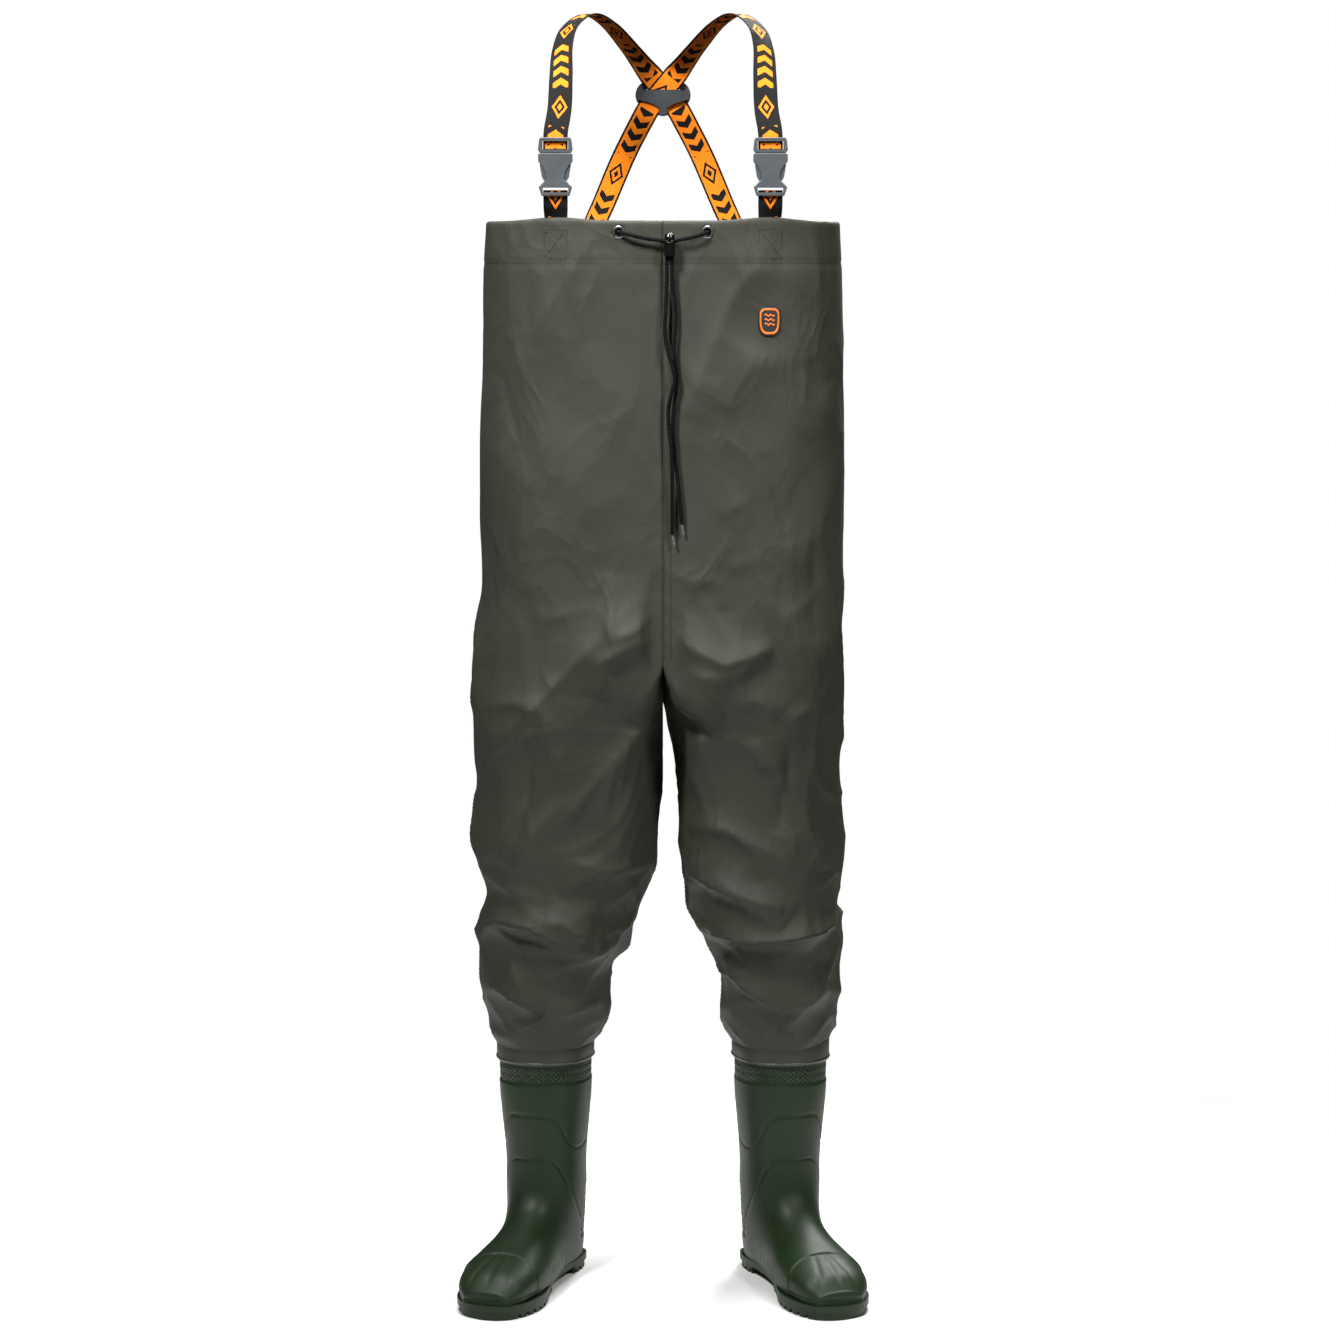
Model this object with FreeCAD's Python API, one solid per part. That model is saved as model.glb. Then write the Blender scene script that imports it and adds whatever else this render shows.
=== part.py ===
"""Chest waders: a fabric trouser body with welded boots, a drawcord hem and buckled braces.

Millimetres. +Z up, toes towards -Y, the wearer's left is +X. The waders stand on z = 0.
"""
import FreeCAD, Part
import math
import os

os.makedirs("parts", exist_ok=True)
V = FreeCAD.Vector

# ---- overall sizes of the garment -------------------------------------------------------
chest_half_width = 222.0
chest_half_depth = 138.0
hip_half_width = 230.0
hip_half_depth = 141.0
body_roundness = 2.8            # exponent of the rounded-rectangle section of the body
hem_z = 1362.0
crotch_z = 816.0
fabric_wall = 1.5
leg_roundness = 2.2
# leg sections from the thigh down: share of the way from the boot's rim up to the crotch,
# inner edge, outer edge, half depth
leg_stations = [(0.8935, 6.0, 231.0, 135.0), (0.7605, 15.0, 228.0, 126.0),
                (0.5323, 21.0, 230.0, 112.0), (0.3992, 33.0, 219.0, 104.0),
                (0.2947, 56.0, 227.0, 98.0), (0.2186, 76.0, 225.0, 88.0),
                (0.0951, 82.0, 214.0, 74.0)]

# ---- boots --------------------------------------------------------------------------------
boot_rim_z = 290.0
boot_x = 152.0                  # distance of each shaft's axis from the centre
boot_splay = 19.0               # degrees that each toe turns outwards
boot_wall = 2.6
boot_lining_wall = 1.0
shaft_half_width = 59.0
shaft_half_depth = 65.0
ball_half_width = 52.0
foot_length = 290.0
heel_back = 68.0                # from the shaft's axis back to the heel
sole_top = 18.0
sole_slab = 8.0
sole_margin = 3.0               # how far the welt stands out beyond the upper
lug_width = 9.0
lug_gap = 5.0
insole_thickness = 4.0
rim_bead = 1.4
cuff_height = 15.0
cuff_wall = 1.4

# ---- hem, drawcord and cord lock ----------------------------------------------------------
casing_depth = 54.0             # from the hem's top edge down to its stitch line
casing_wall = 1.2
casing_gap = 8.5                # room for the cord between the panel and the casing
tape_width = 20.0
tape_thickness = 0.8
cord_diameter = 5.0
eyelet_x = 54.5
eyelet_z = hem_z - 15.0
eyelet_bore = cord_diameter + 3.8
eyelet_flange = 15.0
eyelet_flange_thickness = 1.0
washer_outer = 13.0
washer_thickness = 0.9
aglet_diameter = 3.4
aglet_length = 14.0
lock_x = 8.0
lock_top_z = eyelet_z - 1.0
lock_front_z = lock_top_z - 12.0
lock_rear_z = lock_top_z - 20.0
lock_bottom_z = lock_top_z - 28.0
lock_strand_y = -chest_half_depth - 9.3     # plane of the two hanging strands
lock_strand_spacing = cord_diameter + 1.2
lock_bore = cord_diameter + 0.9
lock_width = lock_strand_spacing + lock_bore + 1.9
lock_stem = 3.0
lock_press = 2.5
spring_wire = 0.5
spring_coils = 5

# ---- webbing, buckles and the cross plate -------------------------------------------------
webbing_width = 30.0
webbing_thickness = 1.8
buckle_x = 132.0
buckle_set_back = 5.5           # how far the buckle hangs behind the body's front
buckle_bottom_z = hem_z + 29.0
buckle_width = webbing_width + 12.0
buckle_depth = 11.0
buckle_wall = 1.8
housing_height = 52.0
plug_frame_height = 19.0
plug_bar = 4.5
prong_clearance = 0.35
prong_width = 5.0
prong_length = 34.0
plate_y = chest_half_depth - 29.0
plate_z = hem_z + 160.0
plate_width = 71.0
plate_height = 46.0
plate_wall = 2.0
plate_window = 0.68             # size of the opening in the ring, as a share of its outline
layer_gap = 0.8                 # between the two straps where they cross
ring_gap = 2.2                  # between the rear strap and the plate's ring
clearance = 0.4

# ---- chest badge --------------------------------------------------------------------------
badge_x = 131.0
badge_z = hem_z - 123.0
badge_width = 29.0
badge_height = 38.0
badge_thickness = 1.6
badge_relief = 0.6

SHAPES = {}
CORD_NODES = set()

# room for both straps between the cross plate's ring and its bridge
strap_pass = 2.0 * webbing_thickness + 2.0 * layer_gap + ring_gap


# ---- helpers ------------------------------------------------------------------------------
def mirrored(shape):
    """The same piece on the wearer's other side."""
    return shape.mirror(V(0, 0, 0), V(1, 0, 0))


def add_pair(name, left_shape):
    """Store a left piece and its mirror image as two nodes."""
    SHAPES["left_" + name] = left_shape
    SHAPES["right_" + name] = mirrored(left_shape)


def box(x0, x1, y0, y1, z0, z1):
    return Part.makeBox(x1 - x0, y1 - y0, z1 - z0, V(x0, y0, z0))


def cylinder(radius, start, end):
    axis = end - start
    return Part.makeCylinder(radius, axis.Length, start, axis)


def blend(a, b, share):
    return a + (b - a) * share


def spline_edge(points):
    curve = Part.BSplineCurve()
    curve.interpolate(points)
    return curve.toShape()


def two_edge_wire(points_outer, points_inner):
    """A closed section of two smooth edges that share their ends."""
    return Part.Wire([spline_edge(points_outer), spline_edge(points_inner)])


def superellipse_y(x, half_width, half_depth, power):
    """Depth of a rounded-rectangle section at the distance x from its centre."""
    return half_depth * (1.0 - min(abs(x) / half_width, 1.0) ** power) ** (1.0 / power)


def body_size(z):
    """Half width and half depth of the body at a height, widening towards the hips."""
    share = min(max((hem_z - z) / (hem_z - crotch_z), 0.0), 1.0)
    return (blend(chest_half_width, hip_half_width, share),
            blend(chest_half_depth, hip_half_depth, share))


def front_y(x, z, inset=0.0):
    """Y of the front surface of the body, moved inwards by inset."""
    half_width, half_depth = body_size(z)
    return -superellipse_y(x, half_width - inset, half_depth - inset, body_roundness)


buckle_y = front_y(buckle_x, hem_z) + buckle_set_back


def surface_turn(x, z):
    """Degrees about Z that turn a piece to lie on the body's front at x."""
    step = 1.0
    slope = (front_y(x + step, z) - front_y(x - step, z)) / (2.0 * step)
    return math.degrees(math.atan(slope))


# ---- fabric body ----------------------------------------------------------------------------
def half_section(z, half_width, half_depth, inner_x, power):
    """D-shaped section of one half: a curved outer side and a flat side at inner_x."""
    count = 13
    outer = []
    for i in range(count):
        angle = math.pi / 2.0 - math.pi * i / (count - 1)
        c, s = math.cos(angle), math.sin(angle)
        x = half_width * abs(c) ** (2.0 / power)
        y = half_depth * math.copysign(abs(s) ** (2.0 / power), s)
        outer.append(V(max(x, 0.0) if inner_x >= 0 else x, y, z))
    outer[0] = V(inner_x, half_depth, z)
    outer[-1] = V(inner_x, -half_depth, z)
    inner = [V(inner_x, -half_depth + 2.0 * half_depth * i / 4.0, z) for i in range(5)]
    return two_edge_wire(outer, inner)


def leg_section(z, inner_x, outer_x, half_depth, turn=0.0):
    """Rounded section of one leg tube, turned about its own centre by degrees."""
    centre = (inner_x + outer_x) / 2.0
    half = (outer_x - inner_x) / 2.0
    count = 13
    turn = math.radians(turn)

    def at(angle):
        c, s = math.cos(angle), math.sin(angle)
        x = half * math.copysign(abs(c) ** (2.0 / leg_roundness), c)
        y = half_depth * math.copysign(abs(s) ** (2.0 / leg_roundness), s)
        return V(centre + x * math.cos(turn) - y * math.sin(turn),
                 x * math.sin(turn) + y * math.cos(turn), z)

    split = math.radians(120.0)
    outer = [at(split - 2.0 * split * i / (count - 1)) for i in range(count)]
    rest = math.pi - split
    inner = [at(-split - 2.0 * rest * i / 4.0) for i in range(5)]
    return two_edge_wire(outer, inner)


def fabric_half_solid(inset, septum):
    """Torso half and leg as one solid, every wall moved inwards by inset.

    septum is where the torso's flat side lies: 0 for the outside, beyond the centre for
    the hollow, so that the two halves open into each other above the crotch.
    """
    top = hem_z + (inset > 0) * 5.0
    low_width, low_depth = body_size(crotch_z)
    top_width, top_depth = body_size(top)
    torso = Part.makeLoft([
        half_section(crotch_z, low_width - inset, low_depth - inset, septum, body_roundness),
        half_section(top, top_width - inset, top_depth - inset, septum, body_roundness)],
        True, True)
    wires = [half_section(crotch_z, low_width - inset, low_depth - inset, inset,
                          body_roundness)]
    for share, inner_x, outer_x, half_depth in leg_stations:
        z = blend(boot_rim_z, crotch_z, share)
        wires.append(leg_section(z, inner_x + inset, outer_x - inset, half_depth - inset))
    ankle_inner = boot_x - shaft_half_width + inset
    ankle_outer = boot_x + shaft_half_width - inset
    for z in (boot_rim_z + cuff_height + 4.0, boot_rim_z - (inset > 0) * 5.0):
        wires.append(leg_section(z, ankle_inner, ankle_outer, shaft_half_depth - inset,
                                 boot_splay))
    leg = Part.makeLoft(wires, True, True)
    return torso.fuse(leg)


def eyelet_centre():
    return V(eyelet_x, front_y(eyelet_x, eyelet_z), eyelet_z)


def make_fabric():
    """One half of the garment: torso half, leg and the hole for its eyelet."""
    half = fabric_half_solid(0.0, 0.0).cut(fabric_half_solid(fabric_wall, -2.0))
    centre = eyelet_centre()
    hole = cylinder(eyelet_bore / 2.0 + 0.8, centre + V(0, -8, 0), centre + V(0, 8, 0))
    half = half.cut(hole)
    add_pair("fabric_half", half)


def body_ring(z0, z1, outer_inset, inner_inset):
    """Closed band that follows the body's section between two insets."""
    def full(inset):
        halves = []
        for z in (z0, z1):
            half_width, half_depth = body_size(z)
            halves.append(half_section(z, half_width - inset, half_depth - inset, 0.0,
                                       body_roundness))
        half = Part.makeLoft(halves, True, True)
        return half.fuse(mirrored(half))
    return full(outer_inset).cut(full(inner_inset))


def make_hem():
    """Turned-in hem: a wall that leaves a channel for the cord, closed above and below."""
    start = fabric_wall + clearance / 2.0
    deep = fabric_wall + casing_gap
    low = hem_z - casing_depth
    wall = body_ring(low, hem_z - 0.5, deep, deep + casing_wall)
    lid = body_ring(hem_z - 0.5 - casing_wall, hem_z - 0.5, start, deep + casing_wall)
    floor = body_ring(low, low + casing_wall, start, deep + casing_wall)
    SHAPES["hem_casing"] = wall.fuse(lid).fuse(floor)


def make_seam_tape():
    """Tape welded over the centre seam inside, front and back, and over the crotch."""
    outer = fabric_wall + 0.1
    top = hem_z - casing_depth - 1.0
    ring = body_ring(crotch_z, top, outer, outer + tape_thickness)
    half = tape_width / 2.0
    strips = ring.common(box(-half, half, -hip_half_depth, hip_half_depth, crotch_z, top))
    reach = body_size(crotch_z)[1] - outer
    saddle = box(-half, half, -reach + 0.3, reach - 0.3, crotch_z, crotch_z + tape_thickness)
    SHAPES["centre_seam_tape"] = strips.fuse(saddle)


# ---- eyelets --------------------------------------------------------------------------------
def make_eyelets():
    """Two-part eyelets: a flanged barrel from outside and a washer rolled on inside."""
    centre = eyelet_centre()
    bore = eyelet_bore / 2.0
    barrel = bore + 0.5
    flange = eyelet_flange / 2.0
    out = centre.y - 0.6
    profile = [(bore, out - 0.4), (bore + 0.7, out - eyelet_flange_thickness),
               (flange - 0.8, out - eyelet_flange_thickness), (flange, out - 0.3),
               (flange, out), (barrel, out), (barrel, centre.y + 3.2), (bore, centre.y + 3.2)]
    points = [V(centre.x + r, y, centre.z) for r, y in profile]
    face = Part.Face(Part.makePolygon(points + points[:1]))
    add_pair("eyelet", face.revolve(centre, V(0, 1, 0), 360))
    seat = centre + V(0, fabric_wall + 0.6, 0)
    end = seat + V(0, washer_thickness, 0)
    ring = cylinder(washer_outer / 2.0, seat, end).cut(cylinder(barrel + 0.05, seat, end))
    add_pair("eyelet_washer", ring)


# ---- cords ----------------------------------------------------------------------------------
def route_wire(name, points):
    """Straight runs joined by tangent arcs; prints the radius of each arc."""
    edges = []
    radii = []
    start = points[0]
    for before, corner, after in zip(points, points[1:], points[2:]):
        into, out = corner - before, after - corner
        turn = into.getAngle(out)
        trim = 0.45 * min(into.Length, out.Length)
        radius = trim / math.tan(turn / 2.0)
        radii.append(radius)
        a = corner - into.normalize() * trim
        b = corner + out.normalize() * trim
        bisector = ((a - corner) + (b - corner)).normalize()
        middle = corner + bisector * (radius / math.cos(turn / 2.0) - radius)
        edges.append(Part.LineSegment(start, a).toShape())
        edges.append(Part.Arc(a, middle, b).toShape())
        start = b
    edges.append(Part.LineSegment(start, points[-1]).toShape())
    print(name, "arc radii mm:", " ".join("%.1f" % r for r in radii))
    return Part.Wire(edges)


def make_cord(name, points):
    """Round cord along a route; prints its length and how true its volume is."""
    wire = route_wire(name, points)
    direction = points[1] - points[0]
    profile = Part.Wire([Part.makeCircle(cord_diameter / 2.0, points[0], direction)])
    tube = wire.makePipeShell([profile], True, False)
    expected = math.pi * (cord_diameter / 2.0) ** 2 * wire.Length
    print(name, "length mm: %.1f" % wire.Length, "volume share: %.4f" % (tube.Volume / expected))
    SHAPES[name] = tube
    CORD_NODES.add(name)


def aglet(end, direction):
    """Tapered tip crimped on the end of a cord."""
    direction = V(direction).normalize()
    tip = end + direction * aglet_length
    neck = end + direction * (aglet_length - 2.0)
    barrel = cylinder(aglet_diameter / 2.0, end + direction * 0.05, neck)
    cone = Part.makeCone(aglet_diameter / 2.0, aglet_diameter / 3.2, (tip - neck).Length,
                         neck, direction)
    return barrel.fuse(cone)


LEFT_TAIL = [(66.5, -129.7, 1347.0), (54.9, -129.9, 1347.0), (54.6, -143.2, 1346.7),
             (44.5, -147.6, 1343.2), (33.0, -148.3, 1339.8), (22.0, -148.1, 1337.9),
             (14.3, -147.6, 1336.0), (11.1, -147.3, 1329.0), (11.12, -147.3, 1314.0),
             (11.1, -147.3, 1286.0), (15.6, -146.8, 1257.0), (15.9, -146.6, 1230.0),
             (12.6, -147.0, 1203.0), (16.6, -146.6, 1179.0), (17.3, -146.4, 1158.0),
             (13.8, -146.8, 1137.0), (12.4, -147.2, 1113.0), (13.9, -147.0, 1084.0),
             (16.5, -147.2, 1055.0), (20.9, -147.0, 1021.0), (23.2, -147.2, 989.0)]
RIGHT_TAIL = [(-66.5, -129.7, 1347.0), (-54.9, -129.9, 1347.0), (-54.6, -143.2, 1346.9),
              (-44.0, -147.6, 1344.6), (-32.0, -148.4, 1341.4), (-18.0, -148.6, 1338.6),
              (-6.5, -148.2, 1337.2), (1.7, -147.6, 1336.0), (4.9, -147.3, 1329.0),
              (4.88, -147.3, 1314.0), (4.9, -147.3, 1286.0), (3.6, -147.6, 1252.0),
              (1.9, -148.6, 1225.0), (5.4, -152.0, 1203.0), (12.4, -153.4, 1182.0),
              (15.4, -153.3, 1165.0), (9.9, -152.2, 1149.0), (5.9, -149.0, 1130.0),
              (7.2, -150.4, 1109.0), (10.4, -151.9, 1086.0), (11.7, -150.7, 1050.0),
              (10.9, -148.2, 1017.0), (11.5, -147.3, 976.0)]
AGLET_LEAN = {"left": V(0.18, 0, -1), "right": V(0.22, 0, -1)}


def channel_route():
    """Way of the cord inside the hem, from one eyelet round the back to the other."""
    inset = fabric_wall + casing_gap / 2.0 - 0.3
    half_width, half_depth = body_size(eyelet_z)
    a, b = half_width - inset, half_depth - inset
    count = 30
    first = math.asin(RIGHT_TAIL[0][0] / a)
    points = []
    for i in range(count):
        angle = first - (2.0 * math.pi + 2.0 * first) * i / (count - 1)
        s, c = math.sin(angle), math.cos(angle)
        x = a * math.copysign(abs(s) ** (2.0 / body_roundness), s)
        y = -b * math.copysign(abs(c) ** (2.0 / body_roundness), c)
        points.append(V(x, y, eyelet_z))
    return points


def make_cords():
    """The drawcord: its run in the hem and its two tails with their aglets."""
    for side, route in (("left", LEFT_TAIL), ("right", RIGHT_TAIL)):
        points = [V(*p) for p in route]
        make_cord(side + "_drawcord_tail", points)
        SHAPES[side + "_cord_aglet"] = aglet(points[-1], AGLET_LEAN[side])
        CORD_NODES.add(side + "_cord_aglet")
    start, end = V(*RIGHT_TAIL[0]), V(*LEFT_TAIL[0])
    ring = [p for p in channel_route() if (p - start).Length > 30 and (p - end).Length > 30]
    lead = V(16, 1.2, 0)
    make_cord("drawcord_hem_run", [start, start - V(lead.x, -lead.y, 0)] + ring
              + [end + lead, end])


# ---- cord lock ------------------------------------------------------------------------------
def make_cord_lock():
    """Sprung lock that slides on the two strands: body, push button with its jaw, spring."""
    half = lock_width / 2.0
    split = lock_strand_y - cord_diameter / 2.0 - 0.7
    rear = lock_strand_y + half / 2.0
    front_axis = V(lock_x, split - 1.0, 0)
    stem_axis = V(lock_x, split - 3.9, 0)

    def at(base, z):
        return V(base.x, base.y, z)

    lower = cylinder(half, at(front_axis, lock_bottom_z), at(front_axis, lock_rear_z))
    lower = lower.fuse(box(lock_x - half, lock_x + half, front_axis.y, rear, lock_bottom_z,
                           lock_rear_z))
    upper = cylinder(half, at(front_axis, lock_rear_z), at(front_axis, lock_front_z))
    upper = upper.common(box(lock_x - half, lock_x + half, split - 20.0, split, lock_rear_z,
                             lock_front_z))
    body = lower.fuse(upper).removeSplitter()
    for side in (-1, 1):
        x = lock_x + side * lock_strand_spacing / 2.0
        body = body.cut(cylinder(lock_bore / 2.0, V(x, lock_strand_y, lock_bottom_z - 1.0),
                                 V(x, lock_strand_y, lock_rear_z + 1.0)))
    spring_radius = 2.3
    seat_z = lock_rear_z + 1.0
    body = body.cut(cylinder(spring_radius + 0.5, at(stem_axis, seat_z),
                             at(stem_axis, lock_front_z + 1.0)))
    body = body.cut(cylinder(lock_stem / 2.0 + 0.15, at(stem_axis, lock_bottom_z + 1.5),
                             at(stem_axis, seat_z + 1.0)))
    window_top = lock_rear_z - 0.7
    jaw_half = lock_strand_spacing / 2.0 + 1.2
    body = body.cut(box(lock_x - jaw_half - 0.4, lock_x + jaw_half + 0.4, stem_axis.y - 1.9,
                        split + 0.6, lock_bottom_z + 1.0, window_top))
    SHAPES["cord_lock_body"] = body

    cap_bottom = lock_front_z + lock_press + 0.4
    cap_radius = half - 0.6
    rise = lock_top_z - cap_bottom
    rows = [(0.0, 0.0), (cap_radius, 0.0), (cap_radius, rise * 0.45),
            (cap_radius * 0.82, rise * 0.82), (cap_radius * 0.45, rise), (0.0, rise)]
    points = [V(front_axis.x + r, front_axis.y, cap_bottom + h) for r, h in rows]
    face = Part.Face(Part.makePolygon(points + points[:1]))
    cap = face.revolve(at(front_axis, cap_bottom), V(0, 0, 1), 360)
    cap = cap.common(box(lock_x - half, lock_x + half, split - 20.0, split, cap_bottom - 1.0,
                         lock_top_z + 1.0))
    jaw_top = window_top - 0.2
    stem = cylinder(lock_stem / 2.0, at(stem_axis, jaw_top - 3.2), at(stem_axis, cap_bottom + 1.0))
    jaw = box(lock_x - jaw_half, lock_x + jaw_half, stem_axis.y - 1.4, split + 0.3,
              jaw_top - 3.2, jaw_top)
    SHAPES["cord_lock_button"] = cap.fuse(stem).fuse(jaw).removeSplitter()

    height = cap_bottom - seat_z - spring_wire - 0.1
    helix = Part.makeHelix(height / spring_coils, height, spring_radius - spring_wire / 2.0)
    profile = Part.Wire([Part.makeCircle(spring_wire / 2.0,
                                         V(spring_radius - spring_wire / 2.0, 0, 0), V(0, 1, 0))])
    coil = Part.Wire(helix).makePipeShell([profile], True, True)
    coil.translate(at(stem_axis, seat_z + spring_wire / 2.0 + 0.05))
    SHAPES["cord_lock_spring"] = coil


# ---- webbing --------------------------------------------------------------------------------
def ribbon(stations, ruled):
    """Flat strap through stations of (centre, width direction), with even thickness."""
    wires = []
    for i, (centre, across) in enumerate(stations):
        before = stations[max(i - 1, 0)][0]
        after = stations[min(i + 1, len(stations) - 1)][0]
        along = after - before
        side = V(across).normalize()
        normal = along.cross(side).normalize()
        side = normal.cross(along).normalize() * (webbing_width / 2.0)
        lift = normal * (webbing_thickness / 2.0)
        corners = [centre - side - lift, centre + side - lift, centre + side + lift,
                   centre - side + lift]
        wires.append(Part.makePolygon(corners + corners[:1]))
    return Part.makeLoft(wires, True, ruled)


def smooth_route(points, steps):
    """Points along a smooth curve through hand-placed (x, y, z, turn) stations."""
    curve = Part.BSplineCurve()
    curve.interpolate([V(p[0], p[1], p[2]) for p in points])
    knots = curve.getKnots()
    out = []
    for i in range(steps + 1):
        t = blend(knots[0], knots[-1], i / steps)
        span = max(k for k in range(len(knots) - 1) if knots[k] <= t)
        share = (t - knots[span]) / (knots[span + 1] - knots[span])
        turn = math.radians(blend(points[span][3], points[span + 1][3], share))
        out.append((curve.value(t), V(math.cos(turn), math.sin(turn), 0)))
    return out


def strap_inset():
    """How far inside the body's surface a strap lies where it is sewn to the casing."""
    return fabric_wall + casing_gap + casing_wall + webbing_thickness / 2.0 + 1.5


def make_straps():
    """Short front stubs and the two braces that cross at the back."""
    x = buckle_x
    low = hem_z - casing_depth + 4.0
    lean = surface_turn(x, hem_z)
    inner = -front_y(x, hem_z, strap_inset())
    across_low = V(math.cos(math.radians(lean)), math.sin(math.radians(lean)), 0)
    slot_z = buckle_bottom_z + 7.0
    stub = ribbon([(V(x, -inner, low), across_low),
                   (V(x, -inner, hem_z + 1.0), across_low),
                   (V(x, blend(-inner, buckle_y, 0.7), hem_z + 18.0), V(1, 0.08, 0)),
                   (V(x, buckle_y, slot_z), V(1, 0, 0))], True)
    add_pair("stub_strap", stub)

    bar_y = buckle_y
    top_z = buckle_bottom_z + housing_height + plug_frame_height
    back_x = 90.0
    back_inner = -front_y(back_x, hem_z, strap_inset())
    back_lean = surface_turn(back_x, hem_z)
    over = {"right": 0.0, "left": webbing_thickness + layer_gap}
    for side, layer in over.items():
        before = plate_y - webbing_thickness / 2.0 - ring_gap - layer
        route = [(buckle_x, bar_y + 3.4, top_z - 12.0, 0.0),
                 (buckle_x - 0.6, bar_y + 5.6, top_z + 8.0, 0.0),
                 (buckle_x - 5.0, bar_y + 17.0, hem_z + 137.0, 4.0),
                 (buckle_x - 6.3, bar_y + 34.0, hem_z + 176.0, 16.0),
                 (buckle_x - 7.4, bar_y + 60.0, hem_z + 212.0, 36.0),
                 (buckle_x - 16.0, bar_y + 89.0, hem_z + 240.0, 48.0),
                 (93.0, 2.0, hem_z + 257.5, 50.0),
                 (68.0, plate_y - 72.0, hem_z + 247.0, 44.0),
                 (42.0, plate_y - 30.0 - layer, hem_z + 220.0, 26.0),
                 (30.0, plate_y - 12.5 - layer, hem_z + 205.5, 14.0),
                 (19.0, plate_y - 3.4 - layer, hem_z + 191.5, 4.0),
                 (7.5, before, plate_z + 17.5, 0.0),
                 (-5.0, before, plate_z + 2.5, 0.0),
                 (-16.5, before, plate_z - 12.0, 0.0),
                 (-26.5, before, plate_z - 29.0, 0.0),
                 (-50.5, plate_y + 7.0, hem_z + 85.0, 4.0),
                 (-76.0, back_inner + 0.8, hem_z + 26.0, back_lean * 0.8),
                 (-back_x, back_inner, hem_z - 7.0, back_lean),
                 (-back_x - 9.0, back_inner - 2.6, low, back_lean)]
        strap = ribbon(smooth_route(route, 60), False)
        SHAPES[side + "_brace"] = strap if side == "left" else mirrored(strap)


# ---- buckles --------------------------------------------------------------------------------
def buckle_outline(points, depth):
    """Plate with an outline in X and Z, centred on the buckle's depth."""
    corners = [V(x, buckle_y - depth / 2.0, z) for x, z in points]
    face = Part.Face(Part.makePolygon(corners + corners[:1]))
    return face.extrude(V(0, depth, 0))


def rounded(shape, radius, keep):
    """Round the edges for which keep(edge) is true."""
    return shape.makeFillet(radius, [e for e in shape.Edges if keep(e)])


def along_y(edge):
    a, b = edge.Vertexes[0].Point, edge.Vertexes[-1].Point
    return abs(a.x - b.x) + abs(a.z - b.z) < 1e-4 and abs(a.y - b.y) > 1.0


def on_faces(depth):
    def test(edge):
        box_ = edge.BoundBox
        return (box_.YLength < 1e-4
                and abs(abs(box_.YMin - buckle_y) - depth / 2.0) < 1e-3)
    return test


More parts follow.
